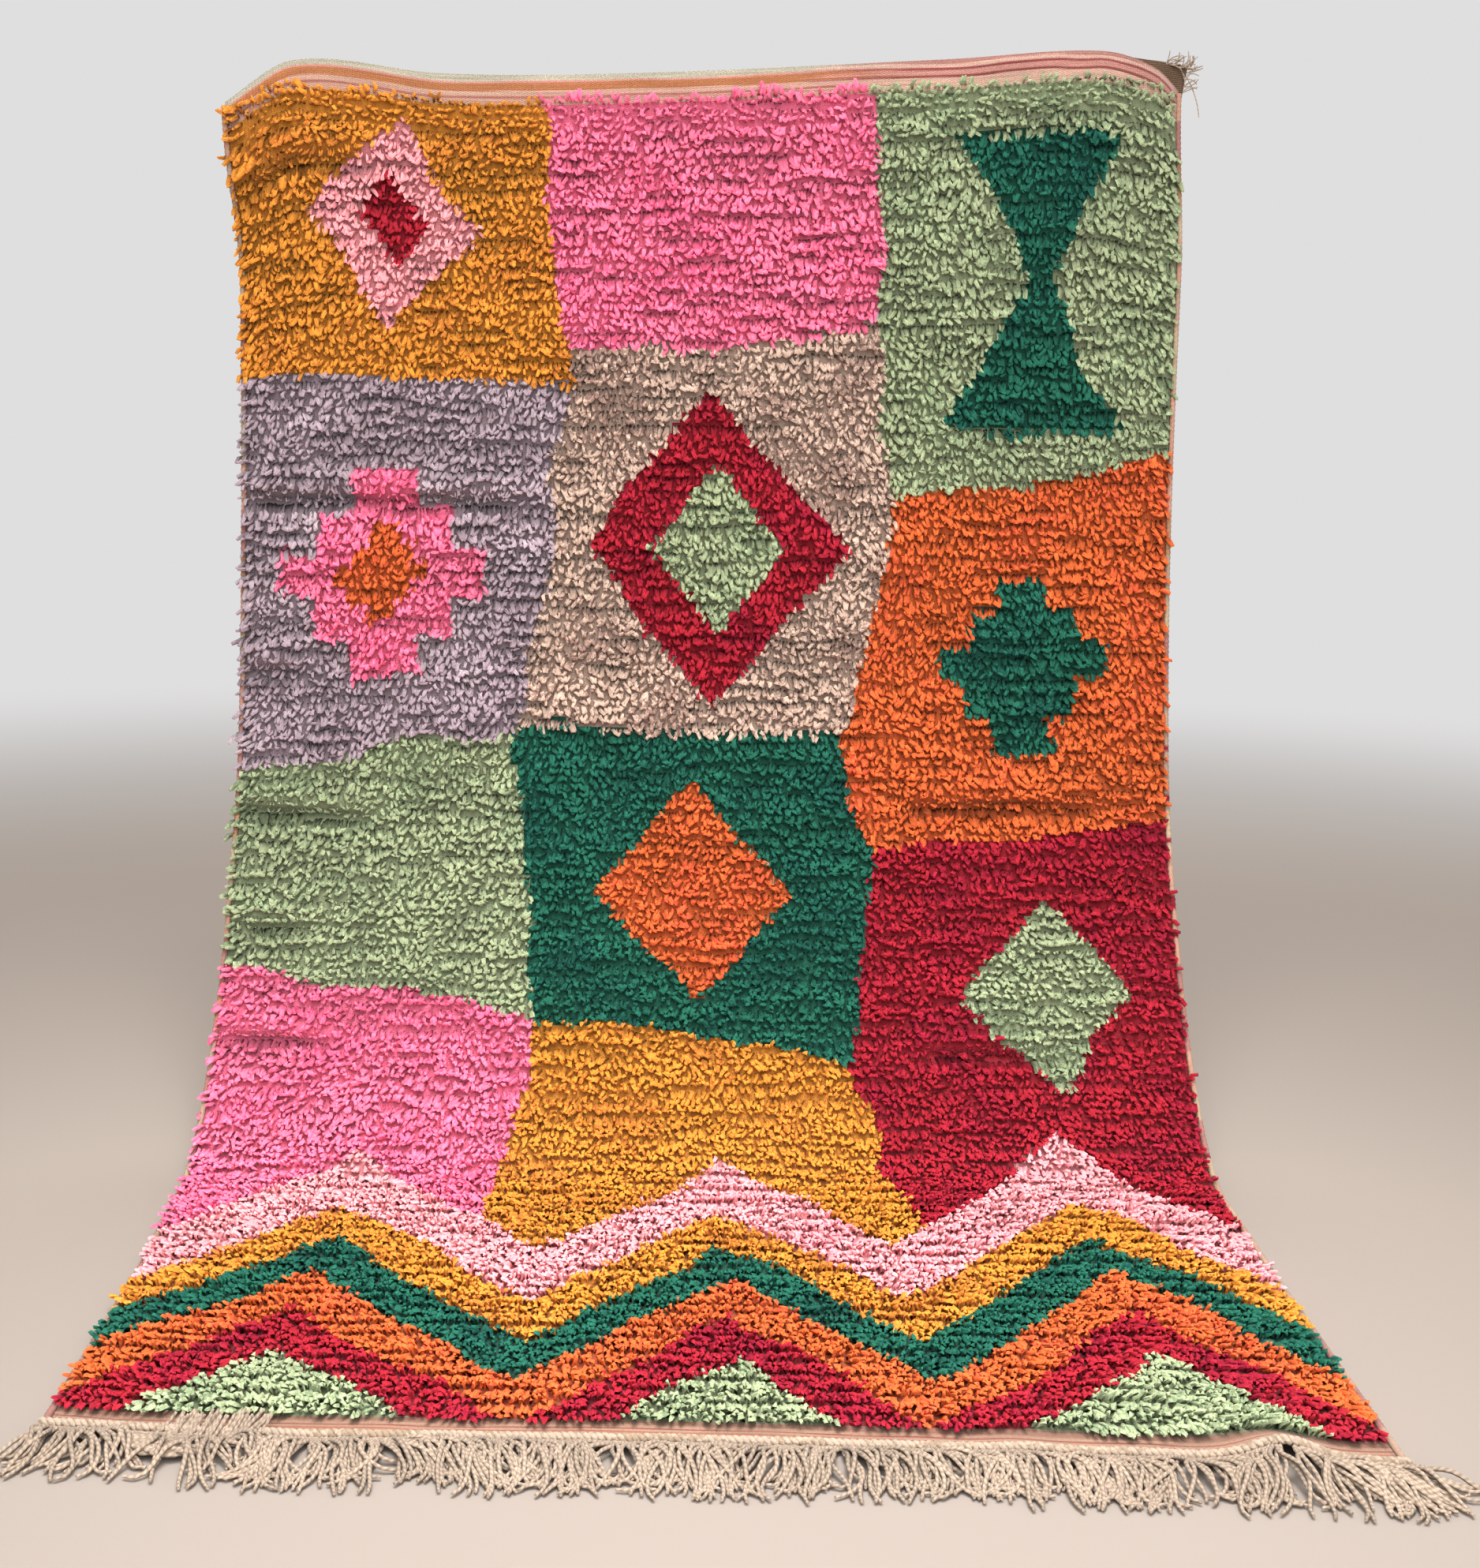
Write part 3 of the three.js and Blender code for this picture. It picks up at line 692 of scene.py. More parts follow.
def ground_mesh():
    """The closed sheet, with its UV map, the dye of each face and which faces are the reverse."""
    across = np.linspace(-WIDTH / 2 + SIDE_INSET, WIDTH / 2 - SIDE_INSET, GROUND_COLUMNS + 1)
    grid_across, grid_along = np.meshgrid(across, ground_rows())
    flat = grid_across.ravel(), grid_along.ravel()
    upper, under = drape(*flat, WEAVE_THICK), drape(*flat, 0.0)
    wide, layer = GROUND_COLUMNS + 1, grid_across.size
    r, c = np.meshgrid(np.arange(GROUND_ROWS), np.arange(GROUND_COLUMNS), indexing="ij")
    a = (r * wide + c).ravel()
    left, top = np.arange(GROUND_ROWS) * wide, np.arange(GROUND_COLUMNS)
    right, last = left + GROUND_COLUMNS, layer - wide + top
    quads = [
        (a, a + wide, a + wide + 1, a + 1),
        (layer + a, layer + a + 1, layer + a + wide + 1, layer + a + wide),
        (left, layer + left, layer + left + wide, left + wide),
        (right, right + wide, layer + right + wide, layer + right),
        (top, top + 1, layer + top + 1, layer + top),
        (last, layer + last, layer + last + 1, last + 1),
    ]
    faces = np.concatenate([np.stack(quad, -1) for quad in quads])
    mesh = bpy.data.meshes.new("rug_ground")
    mesh.from_pydata(np.vstack([upper, under]).tolist(), [], faces.tolist())
    uv = mesh.uv_layers.new(name="cloth")
    places = np.stack([np.tile(flat[0], 2) + WIDTH / 2, np.tile(flat[1], 2)], -1)
    uv.data.foreach_set("uv", places[faces.ravel()].ravel())
    middle_uv = places[faces].mean(1)
    yarn = yarn_at(middle_uv[:, 0] - WIDTH / 2, middle_uv[:, 1])
    colors = np.array([dye(YARNS[name]["color"]) for name in YARN_NAMES])[yarn]
    paint = mesh.color_attributes.new("dye", "FLOAT_COLOR", "CORNER")
    paint.data.foreach_set("color", np.repeat(colors, 4, axis=0).ravel())
    reverse = mesh.attributes.new("reverse", "FLOAT", "FACE")
    is_reverse = np.zeros(len(faces))
    is_reverse[len(a):2 * len(a)] = 1.0
    reverse.data.foreach_set("value", is_reverse)
    mesh.shade_smooth()
    return mesh


rug_ground = new_object("rug_ground", ground_mesh())
print("ground", len(rug_ground.data.polygons), "faces")

# %% [markdown]
# The headings are weft-faced stripes in several leftover yarns. Their colours follow the distance from the
# nearer end of the cloth, read from the UV map, and a slow noise across the rug lets one stripe give way to
# another, as when a weaver joins in a new yarn. The front under the pile is only the dye, darkened by
# painted shade, as the pile over it shades it.

# %% Ground material
TOP_STRIPES = {
    0.000: (150, 142, 124),
    0.009: (164, 116, 106),
    0.012: (146, 94, 62),
    0.024: (164, 130, 114),
    0.032: (140, 90, 80),
    0.036: (156, 122, 106),
}
TOP_RIGHT_STRIPES = {
    0.000: (146, 100, 90),
    0.005: (170, 134, 120),
    0.011: (116, 58, 56),
    0.015: (160, 112, 102),
    0.023: (112, 58, 54),
    0.027: (168, 134, 118),
}
FRONT_STRIPES = {
    0.000: (140, 118, 102),
    0.009: (122, 66, 54),
    0.012: (142, 104, 84),
    0.015: (136, 80, 60),
    0.018: (144, 112, 92),
    0.023: (118, 62, 54),
    0.026: (142, 110, 90),
    0.033: (122, 88, 72),
}
RIGHT_FROM = 0.90
RIGHT_EDGE = 9.0
STRIPE_ZONE = 0.050
STRIPE_SOFT = 0.0008
STRIPE_WANDER = 0.022
PICKS = {"X": 7.0, "Y": 520.0}
PICK_TONES = 0.9
WEFT_COLOR = (120, 84, 74)
WEFT_ROWS = 0.42
# Painted shade: the front of the ground under the pile keeps this share of its dye.
GROUND_PAINTED_SHADE = 0.50


def stripe_ramp(tree, distance, stripes):
    places, colors = list(stripes), [dye(color) for color in stripes.values()]
    stops = [(0.0, colors[0])]
    for place, before, after in zip(places[1:], colors, colors[1:]):
        stops += [(place - STRIPE_SOFT, before), (place + STRIPE_SOFT, after)]
    ramp = node(tree, "ShaderNodeValToRGB", Fac=distance / STRIPE_ZONE)
    elements = ramp.color_ramp.elements
    while len(elements) < len(stops):
        elements.new(0.5)
    for element, (place, color) in zip(elements, stops):
        element.position = place / STRIPE_ZONE
        element.color = color
    return ramp.outputs["Color"]


def heading_color(tree, across, along, from_front):
    """Stripes of the nearer end, with every pick of weft a little lighter or darker than the next."""
    picks = node(tree, "ShaderNodeCombineXYZ", X=across * PICKS["X"], Y=along * PICKS["Y"]).outputs["Vector"]
    pick = noise(tree, picks, 1.0, 1.0) - 0.5
    shift = (noise(tree, object_place(tree), 4.0, 2.0) - 0.5) * STRIPE_WANDER + pick * 0.004
    at_right = ((across + pick * 0.5 - RIGHT_FROM) * RIGHT_EDGE).clamped()
    tops = [stripe_ramp(tree, along + shift, stripes) for stripes in (TOP_STRIPES, TOP_RIGHT_STRIPES)]
    front = stripe_ramp(tree, from_front + shift, FRONT_STRIPES)
    at_front = along.math("GREATER_THAN", LENGTH / 2)
    color = mix_color(tree, at_front, mix_color(tree, at_right, *tops), front)
    return toned(tree, color, pick.times_plus(PICK_TONES, 1.0))


def ground_material():
    material, tree, shader = yarn_material("ground_weave", sheen=0.10)
    across, along = cloth_place(tree)
    from_front = LENGTH - along
    heading = along.math("MINIMUM", from_front).math("LESS_THAN", HEADING + 0.006)
    stripes = heading_color(tree, across, along, from_front)
    weave = node(tree, "ShaderNodeGroup", node_tree=WEAVE, Rib=330.0, Warp=130.0)
    knots = node(tree, "ShaderNodeGroup", node_tree=WEAVE, Rib=82.0, Warp=83.0)
    reverse = attribute(tree, "reverse")
    dyed = attribute(tree, "dye", "Color")
    on_knot = Number(tree, knots.outputs["Rows"]).math("GREATER_THAN", WEFT_ROWS)
    back = mix_color(tree, on_knot, dye(WEFT_COLOR), dyed)
    # Painted shade: under the pile the front of the ground is its dye darkened, as the locks above shade it.
    front = mix_color(tree, GROUND_PAINTED_SHADE, BLACK, dyed)
    cloth = mix_color(tree, heading, mix_color(tree, reverse, front, back), stripes)
    ribs = Number(tree, weave.outputs["Height"]) * 0.4
    height = Number(tree, knots.outputs["Height"]).times_plus(reverse, ribs)
    finish_shader(tree, shader, wool(tree, cloth)[0], height, 0.0022, 0.9)
    return material


rug_ground.data.materials.append(ground_material())
print("stripes", len(TOP_STRIPES), "at the top and", len(FRONT_STRIPES), "at the front")

# %% [markdown]
# A knotted rug has tens of thousands of knots, each with two ends of yarn that bloom into one soft lock.
# Modelling one by hand and copying it would be slow, so Geometry Nodes does it: every knot is a point that
# knows which way its lock leans and how long it is, one small curved lock is built in the tree, and it is
# instanced on the points, turned and scaled by those numbers, then realized.

# %% Knot places
ROW_PITCH = 0.0113
KNOT_PITCH = 0.0061
PILE_START = HEADING - 0.001
PILE_END = LENGTH - HEADING - 0.004
CORNER_RISE = 0.018


def knot_places():
    """The row, and the place across and along, of every knot. Every second row is half a knot aside."""
    rows = int((PILE_END - PILE_START) / ROW_PITCH)
    columns = int((WIDTH - 2 * SIDE_INSET) / KNOT_PITCH)
    row, column = np.meshgrid(np.arange(rows), np.arange(columns), indexing="ij")
    row, column = row.ravel().astype(float), column.ravel().astype(float)
    across = -WIDTH / 2 + SIDE_INSET + (column + 0.25 + 0.5 * (row % 2)) * KNOT_PITCH
    along = PILE_START + (row + 0.5) * ROW_PITCH
    near_top = 1 - smooth(along, PILE_START, PILE_START + 0.090)
    along = along - CORNER_RISE * near_top * smooth(np.abs(across), 0.600, 0.720)
    across = across + 0.0016 * scatter(column, row, 1)
    along = along + 0.0050 * drift(across, along, 0.075, 0.06, 2) + 0.0022 * scatter(column, row, 2)
    return row, across, along


# %% [markdown]
# Long wool doesn't stand in a lawn of single locks. It clings together in tufts a finger wide, and where it
# hangs, whole rows part and show their roots, which get painted shade. So each tip is drawn to the nearest
# of a set of scattered middles, and a slow random wave along each row says where it parts from the row
# below. The same is done along the creases, where the pile above lifts and the pile below drops.

# %% Tufts and partings
TUFT_WIDE = 0.0150
TUFT_LONG = 0.0125
TUFT_SCATTER = 0.42
TUFT_PULL = 0.55
FAR_AWAY = 9.0


def tuft_pull(across, along):
    """How far each tip moves towards the middle of its tuft, across and along, and how near it is to it."""
    row = np.floor(along / TUFT_LONG)
    best = np.full(across.shape, FAR_AWAY)
    pull = np.zeros((2, len(across)))
    for cell_row in (row - 1, row, row + 1):
        shift = 0.5 * scatter(cell_row, 5, 6)
        column = np.floor(across / TUFT_WIDE - shift)
        for cell in (column - 1, column, column + 1):
            spot_across = (cell + shift + 0.5 + TUFT_SCATTER * scatter(cell, cell_row, 7)) * TUFT_WIDE
            spot_along = (cell_row + 0.5 + TUFT_SCATTER * scatter(cell, cell_row, 8)) * TUFT_LONG
            far = np.hypot((spot_across - across) / TUFT_WIDE, (spot_along - along) / TUFT_LONG)
            closer = far < best
            best = np.where(closer, far, best)
            pull = np.where(closer, (spot_across - across, spot_along - along), pull)
    return pull * TUFT_PULL, best


def parting(across, row):
    """How far the pile is parted, from 0 to 1, between a row of knots and the row below it."""
    return np.clip(2.2 * drift(across, row, 0.075, 1.0, 20) - 0.35, 0, 1)


def crease_parting(across, along):
    """The same at the creases, negative above a crease and positive below it, and how near each knot is."""
    parted, near = np.zeros((2, len(across)))
    for _, opened, line in crease_lines(across):
        far = along - line
        parted = parted + opened * bell(far, 0.016) * np.where(far < 0, -0.3, 0.6)
        near = np.maximum(near, opened * bell(far - 0.003, 0.0066))
    return parted, near


# %% [markdown]
# Now each knot gets its lock: where its root sits, where its tip ends, how thick and how light it is, with
# painted shade at creases and at the edges of its tuft and painted light where it lies on the floor, and how
# much painted shade darkens its root. A lock that hangs slides down over the next, one that lies on the
# floor is drawn towards the fringe and is thinner. Each also gets the outward direction of its tuft. Its
# faces are shaded partly by that direction, so a tuft catches the light as one soft lump and not as a bundle
# of sticks.

# %% Locks
ROOT_LIFT = 0.0034
HANGING = {"lift": 0.0158, "slide": 0.0112}
LYING = {"lift": 0.0150, "slide": 0.0235}
LYING_GIRTH = 0.66
# Painted light: locks that lie on the floor are lightened by this share, as they face the light from above.
LYING_PAINTED_LIGHT = 0.10
TOP_TUCK = 0.0155
FRONT_TUCK = 0.003
PARTING_OPENS = {"above": 0.0056, "below": 0.0044}
CREASE_PARTS = 0.019
# Painted shade: locks along a crease are darkened by this share.
CREASE_PAINTED_SHADE = 0.62
SIDE_LEAN = {"left": 0.0075, "right": 0.0045}
TUFT_ROUND = 130.0
# Painted shade on the roots of locks at partings, at creases and at cracks between tufts, and its most.
ROOT_PAINTED_SHADE = {"parting": 1.05, "crease": 1.20, "crack": 0.55, "most": 0.95}
NEAR_SIDE = (0.700, 0.744)


def unit(vectors):
    return vectors / np.linalg.norm(vectors, axis=1)[:, None]


def knots():
    """For every knot its place, its root, and what the tree and the material need to know of its lock."""
    row, across, along = knot_places()
    lying = smooth(along, TOUCHDOWN_ALONG - 0.42, TOUCHDOWN_ALONG + 0.05)
    lift, slide = (HANGING[key] * (1 - lying) + LYING[key] * lying for key in ("lift", "slide"))
    over_gap, under_gap = parting(across, row), parting(across, row - 1)
    parted, at_crease = crease_parting(across, along)
    near_top = 1 - smooth(along, PILE_START, PILE_START + 0.060)
    near_front = smooth(along, PILE_END - 0.030, PILE_END)

    slide = slide + 0.0050 * drift(across, along, 0.020, 0.013, 13)
    slide = slide + 0.0036 * scatter(across * 900, along * 700, 3)
    slide = slide - PARTING_OPENS["above"] * over_gap + PARTING_OPENS["below"] * under_gap
    slide = slide + CREASE_PARTS * parted * (1 - lying)
    slide = slide - near_top * TOP_TUCK * (1 + 0.2 * scatter(across * 500, along, 4))
    slide = slide + near_front * FRONT_TUCK
    leans = smooth(across, *NEAR_SIDE) * SIDE_LEAN["right"] - smooth(-across, *NEAR_SIDE) * SIDE_LEAN["left"]
    aside = 0.0064 * drift(across, along, 0.018, 0.011, 11) + 0.0042 * scatter(across * 900, along * 900, 12)
    aside = aside + leans * (1 - 0.85 * lying)
    pull, far = tuft_pull(across + aside, along + slide)
    far = np.minimum(far, 1.0)
    gathers = 1 - 0.6 * lying
    tip_across = across + aside + pull[0] * gathers
    tip_along = along + slide + pull[1] * gathers

    tip_lift = lift * (1.12 - 0.30 * far) * (1 + 0.16 * drift(across, along, 0.12, 0.05, 14))
    tip_lift = tip_lift * (1 + 0.15 * scatter(across * 700, along * 500, 15))
    tip_lift = tip_lift * (1 + 0.16 * over_gap - 0.14 * under_gap)
    tip_lift = tip_lift * (1 - 0.25 * near_front) * (1 - 0.40 * at_crease)
    root = drape(across, along, ROOT_LIFT)
    lean = drape(tip_across, tip_along, WEAVE_THICK + tip_lift) - root
    long = np.linalg.norm(lean, axis=1)
    girth = long * (1 - (1 - LYING_GIRTH) * lying)

    above = drape(across, along, 0.02) - root
    beside = drape(across + 0.01, along, ROOT_LIFT) - root
    down = drape(across, along + 0.01, ROOT_LIFT) - root
    turned = 1.3 * scatter(across * 650, along * 350, 18)
    face = above * np.cos(turned)[:, None] + 2 * beside * np.sin(turned)[:, None]
    out = unit(above) - TUFT_ROUND * (beside * pull[0][:, None] + down * pull[1][:, None]) / 0.01

    tone = 1 + 0.09 * scatter(across * 800, along * 400, 16) + 0.10 * drift(across, along, 0.16, 0.021, 17)
    tone = tone + 0.05 * drift(across, along, 0.30, 0.11, 19)
    # Painted shade: locks far from the middle of their tuft and locks at a crease are darker. Painted light:
    # locks that lie on the floor are lighter.
    tone = tone * (1.04 - 0.14 * far) * (1 - CREASE_PAINTED_SHADE * at_crease) * (1 + LYING_PAINTED_LIGHT * lying)
    # deep is painted shade on the root of each lock: roots at partings, creases and cracks between tufts are
    # darkened as the row above would shade them, less where the lock lies on the floor.
    deep = ROOT_PAINTED_SHADE["parting"] * under_gap + ROOT_PAINTED_SHADE["crease"] * at_crease
    deep = deep + ROOT_PAINTED_SHADE["crack"] * smooth(far, 0.40, 0.75)
    deep = np.clip(deep, 0, ROOT_PAINTED_SHADE["most"]) * (1 - 0.7 * lying)
    size = np.stack([girth, girth, long], -1)
    return {"across": across, "along": along, "root": root, "lean": lean, "face": face, "size": size,
            "out": unit(out), "tone": tone, "deep": deep}


KNOTS = knots()
KNOT_YARN = yarn_at(KNOTS["across"], KNOTS["along"])
print(len(KNOT_YARN), "knots, mean length", round(float(np.linalg.norm(KNOTS["lean"], axis=1).mean()), 4))

# %% [markdown]
# The trees for pile, edges, cord and fringe share their first and last steps, so those are helpers: a tree
# with named inputs, a ring to sweep along a path, the sweep itself with its radius at each point, and the
# end that makes instances real, smooths them and gives them their material. The seeds are bare points, or
# paths of them, and carry as attributes what each lock or strand needs to know.

# %% Geometry Nodes helpers
def new_tree(name, inputs):
    shape = ("Geometry", "Geometry")
    return new_group(name, "GeometryNodeTree", [shape, *inputs, ("Material", "Material")], [shape])


def step(tree, kind, **settings):
    """What comes first out of a new geometry node."""
    made = node(tree, "GeometryNode" + kind, **settings)
    return next(s for s in made.outputs if s.enabled)


def named_vector(tree, name):
    return step(tree, "InputNamedAttribute", data_type="FLOAT_VECTOR", Name=name)


def along_path(tree):
    """How far along its path a point lies, as a share of it and in metres."""
    made = node(tree, "GeometryNodeSplineParameter")
    return Number(tree, made.outputs["Factor"]), Number(tree, made.outputs["Length"])


def stored(tree, geometry, name, value):
    return step(tree, "StoreNamedAttribute", data_type="FLOAT", Geometry=geometry, Name=name, Value=value)


def ring(tree, sides):
    return step(tree, "CurvePrimitiveCircle", Resolution=sides, Radius=1.0)


def rim_ring(tree, sides):
    """A ring whose points know their place on it, as a cosine and a sine."""
    rim = ring(tree, sides)
    turn = along_path(tree)[0] * FULL_TURN
    for name, operation in (("rim_cosine", "COSINE"), ("rim_sine", "SINE")):
        rim = stored(tree, rim, name, turn.math(operation))
    return rim


def swept(tree, curve, profile, radius):
    """The closed tube of a profile along a curve, with this radius at each point."""
    sized = step(tree, "SetCurveRadius", Curve=curve, Radius=radius)
    radius = step(tree, "InputRadius")
    return step(tree, "CurveToMesh", Curve=sized, Profile_Curve=profile, Scale=radius, Fill_Caps=True)


def real_and_smooth(tree, geometry):
    return step(tree, "SetShadeSmooth", Geometry=step(tree, "RealizeInstances", Geometry=geometry))


def finish_tree(tree, given, result, geometry):
    finished = step(tree, "SetMaterial", Geometry=geometry, Material=given["Material"])
    put(tree, result["Geometry"], finished)
    return tree


def seed_mesh(name, paths, joined=True, vectors=None, numbers=None):
    """The points of all paths, joined by edges along each or not, with the values each point carries."""
    mesh = bpy.data.meshes.new(name)
    starts = np.cumsum([0] + [len(path) for path in paths])
    spans = list(zip(starts[:-1], starts[1:])) if joined else []
    edges = [(i, i + 1) for low, high in spans for i in range(low, high - 1)]
    mesh.from_pydata(np.concatenate(paths).tolist(), edges, [])
    for kind, field, columns in (("FLOAT_VECTOR", "vector", vectors), ("FLOAT", "value", numbers)):
        for label, values in (columns or {}).items():
            mesh.attributes.new(label, kind, "POINT").data.foreach_set(field, values.ravel())
    return mesh


def grow(name, mesh, tree, material, **values):
    """The plain mesh that a tree makes from a seed mesh, as an object of its own."""
    seed = new_object(name + "_seed", mesh)
    modifier = seed.modifiers.new("grow", "NODES")
    modifier.node_group = tree
    sockets = {s.name: s.identifier for s in tree.interface.items_tree if s.in_out == "INPUT"}
    for label, value in {"Material": material, **values}.items():
        modifier[sockets[label]] = value
    graph = bpy.context.evaluated_depsgraph_get()
    made = bpy.data.meshes.new_from_object(seed.evaluated_get(graph))
    bpy.data.objects.remove(seed)
    made.name = name
    return new_object(name, made)


# %% [markdown]
# The tree for the pile has named inputs for the lock's thickness at root, belly and tip, and for how far it
# bows out. The lock is a line of three points, bowed by a sine, with a three-sided section: from a step away
# a lock is only a few pixels wide, so fewer faces leave room for more locks. Its normals are then mixed with
# the outward direction of its tuft, and Softness says how much.

# %% Pile tree
def pile_tree():
    inputs = [("Root", "Float", 0.09), ("Belly", "Float", 0.170), ("Tip", "Float", 0.130)]
    inputs += [("Bow", "Float", 0.16), ("Sides", "Int", 3), ("Softness", "Float", 0.45)]
    tree, given, result = new_tree("pile_locks", inputs)
    line = step(tree, "CurvePrimitiveLine", Start=(0, 0, 0), End=(0, 0, 1))
    line = step(tree, "ResampleCurve", Curve=line, Count=3)
    share = along_path(tree)[0]
    arch = (share * math.pi).math("SINE")
    bow = node(tree, "ShaderNodeCombineXYZ", X=arch * given["Bow"]).outputs["Vector"]
    line = step(tree, "SetPosition", Geometry=line, Offset=bow)
    straight = share.times_plus(given["Tip"] - given["Root"], given["Root"])
    thick = arch.times_plus(given["Belly"] - straight, straight)
    lock = swept(tree, stored(tree, line, "tip_share", share), rim_ring(tree, given["Sides"]), thick)

    turn = node(tree, "FunctionNodeAxesToRotation", primary_axis="Z", secondary_axis="X",
                Primary_Axis=named_vector(tree, "lean"), Secondary_Axis=named_vector(tree, "face"))
    placed = step(tree, "InstanceOnPoints", Points=given["Geometry"], Instance=lock,
                  Rotation=turn.outputs["Rotation"], Scale=named_vector(tree, "size"))
    soft = node(tree, "ShaderNodeMix", data_type="VECTOR", Factor=given["Softness"],
                A=step(tree, "InputNormal"), B=named_vector(tree, "out"))
    softened = step(tree, "SetMeshNormal", mode="FREE", domain="POINT", Mesh=real_and_smooth(tree, placed),
                    Custom_Normal=next(s for s in soft.outputs if s.enabled))
    return finish_tree(tree, given, result, softened)


PILE_TREE = pile_tree()
pile = []
for number, yarn in enumerate(YARN_NAMES):
    mine = KNOT_YARN == number
    vectors = {label: KNOTS[label][mine] for label in ("lean", "face", "size", "out")}
    numbers = {label: KNOTS[label][mine] for label in ("tone", "deep")}
    seeds = seed_mesh("knots_" + yarn, [KNOTS["root"][mine]], joined=False, vectors=vectors, numbers=numbers)
    pile.append(grow("pile_" + yarn, seeds, PILE_TREE, PILE_MATERIALS[yarn]))
    print(pile[-1].name, int(mine.sum()), "locks,", len(pile[-1].data.polygons), "faces")

# %% [markdown]
# Along each side the outermost warps are wrapped with leftover weft yarn, which makes a ribbed cord-like
# edge in changing colours. A path of points follows the drape, and each point carries the dye of the yarn
# that is wrapped there. The tree turns the path into a curve, swells its radius once for each turn of yarn
# and runs a round section along it. The right edge shows short dark red joins, and a table holds them.

# %% Bound edges
EDGE_RADIUS = 0.0042
EDGE_STEP = 0.003
EDGE_YARNS = [(150, 130, 106), (154, 116, 98), (134, 92, 84), (142, 104, 78), (146, 120, 102)]
JOIN_YARN = (112, 22, 36)
RIGHT_JOINS = (1.061, 1.143, 1.214, 1.310, 1.322, 1.372, 1.765, 1.812)
JOIN_HALF = 0.005
YARN_CHANGES = {"each": 0.07, "group": 0.21, "shift": 0.8}


def path_curve(tree, given):
    """The seed's path as a curve with a point at each Step, and how far along it a point lies."""
    curve = step(tree, "MeshToCurve", Mesh=given["Geometry"])
    curve = step(tree, "ResampleCurve", mode="LENGTH", Curve=curve, Length=given["Step"])
    return curve, along_path(tree)[1]


def bound_edge_tree():
    inputs = [("Radius", "Float", EDGE_RADIUS), ("Turn", "Float", 0.0085), ("Swell", "Float", 0.13)]
    tree, given, result = new_tree("bound_edge", inputs + [("Step", "Float", EDGE_STEP)])
    curve, run = path_curve(tree, given)
    ribs = (run / given["Turn"] * FULL_TURN).math("SINE").times_plus(given["Swell"], 1.0)
    tube = swept(tree, curve, ring(tree, 7), ribs * given["Radius"])
    return finish_tree(tree, given, result, real_and_smooth(tree, tube))


def bound_edge_material():
    material, tree, shader = yarn_material("bound_edge_wool", sheen=0.08)
    color, fuzz = wool(tree, attribute(tree, "dye", "Vector"))
    finish_shader(tree, shader, color, fuzz, 0.0008, 0.6)
    return material


def bound_edge(name, side, joins):
    along = np.arange(0.004, LENGTH - 0.002, EDGE_STEP)
    points = drape(side * (WIDTH / 2 - 0.005), along, EDGE_RADIUS * 1.15)
    shift = YARN_CHANGES["shift"] * scatter(np.floor(along / YARN_CHANGES["group"]), side, 31)
    turn = np.floor(along / YARN_CHANGES["each"] + shift)
    pick = np.floor((scatter(turn, side, 32) * 0.5 + 0.5) * len(EDGE_YARNS)).astype(int)
    dyes = np.array([dye(rgb)[:3] for rgb in EDGE_YARNS])[np.clip(pick, 0, len(EDGE_YARNS) - 1)]
    for join in joins:
        dyes[np.abs(along - join) < JOIN_HALF] = dye(JOIN_YARN)[:3]
    return grow(name, seed_mesh(name + "_path", [points], vectors={"dye": dyes}), EDGE_TREE, EDGE_MATERIAL)


EDGE_TREE = bound_edge_tree()
EDGE_MATERIAL = bound_edge_material()
left_bound_edge = bound_edge("left_bound_edge", -1, ())
right_bound_edge = bound_edge("right_bound_edge", 1, RIGHT_JOINS)
print("bound edges", len(left_bound_edge.data.polygons), len(right_bound_edge.data.polygons), "faces")

# %% [markdown]
# A cord is twined across the front so that the last weft can't slip off the warps. Two strands wind round
# each other, and the tree makes them from one path: each strand is pushed off the path by its own turning
# amount, half a turn apart. Real turns catch light and shade as the photograph shows, which bump would not.

# %% Edge cord
CORD_RADIUS = 0.0062
CORD_TURN = 0.0150
CORD_LIFT = 0.0070
CORD_PAST_EDGE = 0.0040
CORD_COLOR = (158, 141, 124)
CORD_SHADE = (134, 116, 98)


def edge_cord_tree():
    inputs = [("Strand", "Float", 0.0038), ("Turn", "Float", CORD_TURN), ("Step", "Float", 0.0016)]
    tree, given, result = new_tree("edge_cord", inputs)
    curve, run = path_curve(tree, given)
    angle = run / given["Turn"] * FULL_TURN
    far = CORD_RADIUS - given["Strand"]
    both = node(tree, "GeometryNodeJoinGeometry")
    for half_turn in (0.0, math.pi):
        turned = angle + half_turn
        push = node(tree, "ShaderNodeCombineXYZ", Y=turned.math("COSINE") * far, Z=turned.math("SINE") * far)
        strand = step(tree, "SetPosition", Geometry=curve, Offset=push.outputs["Vector"])
        put(tree, both.inputs["Geometry"], swept(tree, strand, ring(tree, 5), given["Strand"]))
    return finish_tree(tree, given, result, real_and_smooth(tree, both.outputs["Geometry"]))


def cord_material():
    material, tree, shader = yarn_material("cord_yarn")
    color, fuzz = wool(tree, dye(CORD_COLOR), Fleck=dye(CORD_SHADE), Fleck_Share=0.0)
    finish_shader(tree, shader, color, fuzz, 0.0008, 0.5)
    return material


cord_across = np.linspace(-WIDTH / 2 + 0.001, WIDTH / 2 - 0.001, 301)
cord_wander = 0.0015 * drift(cord_across, cord_across * 0, 0.05, 1.0, 41)
cord_path = drape(cord_across, LENGTH + CORD_PAST_EDGE + cord_wander, CORD_LIFT)
edge_cord = grow("edge_cord", seed_mesh("edge_cord_path", [cord_path]), edge_cord_tree(), cord_material())
print("edge cord", len(edge_cord.data.polygons), "faces")

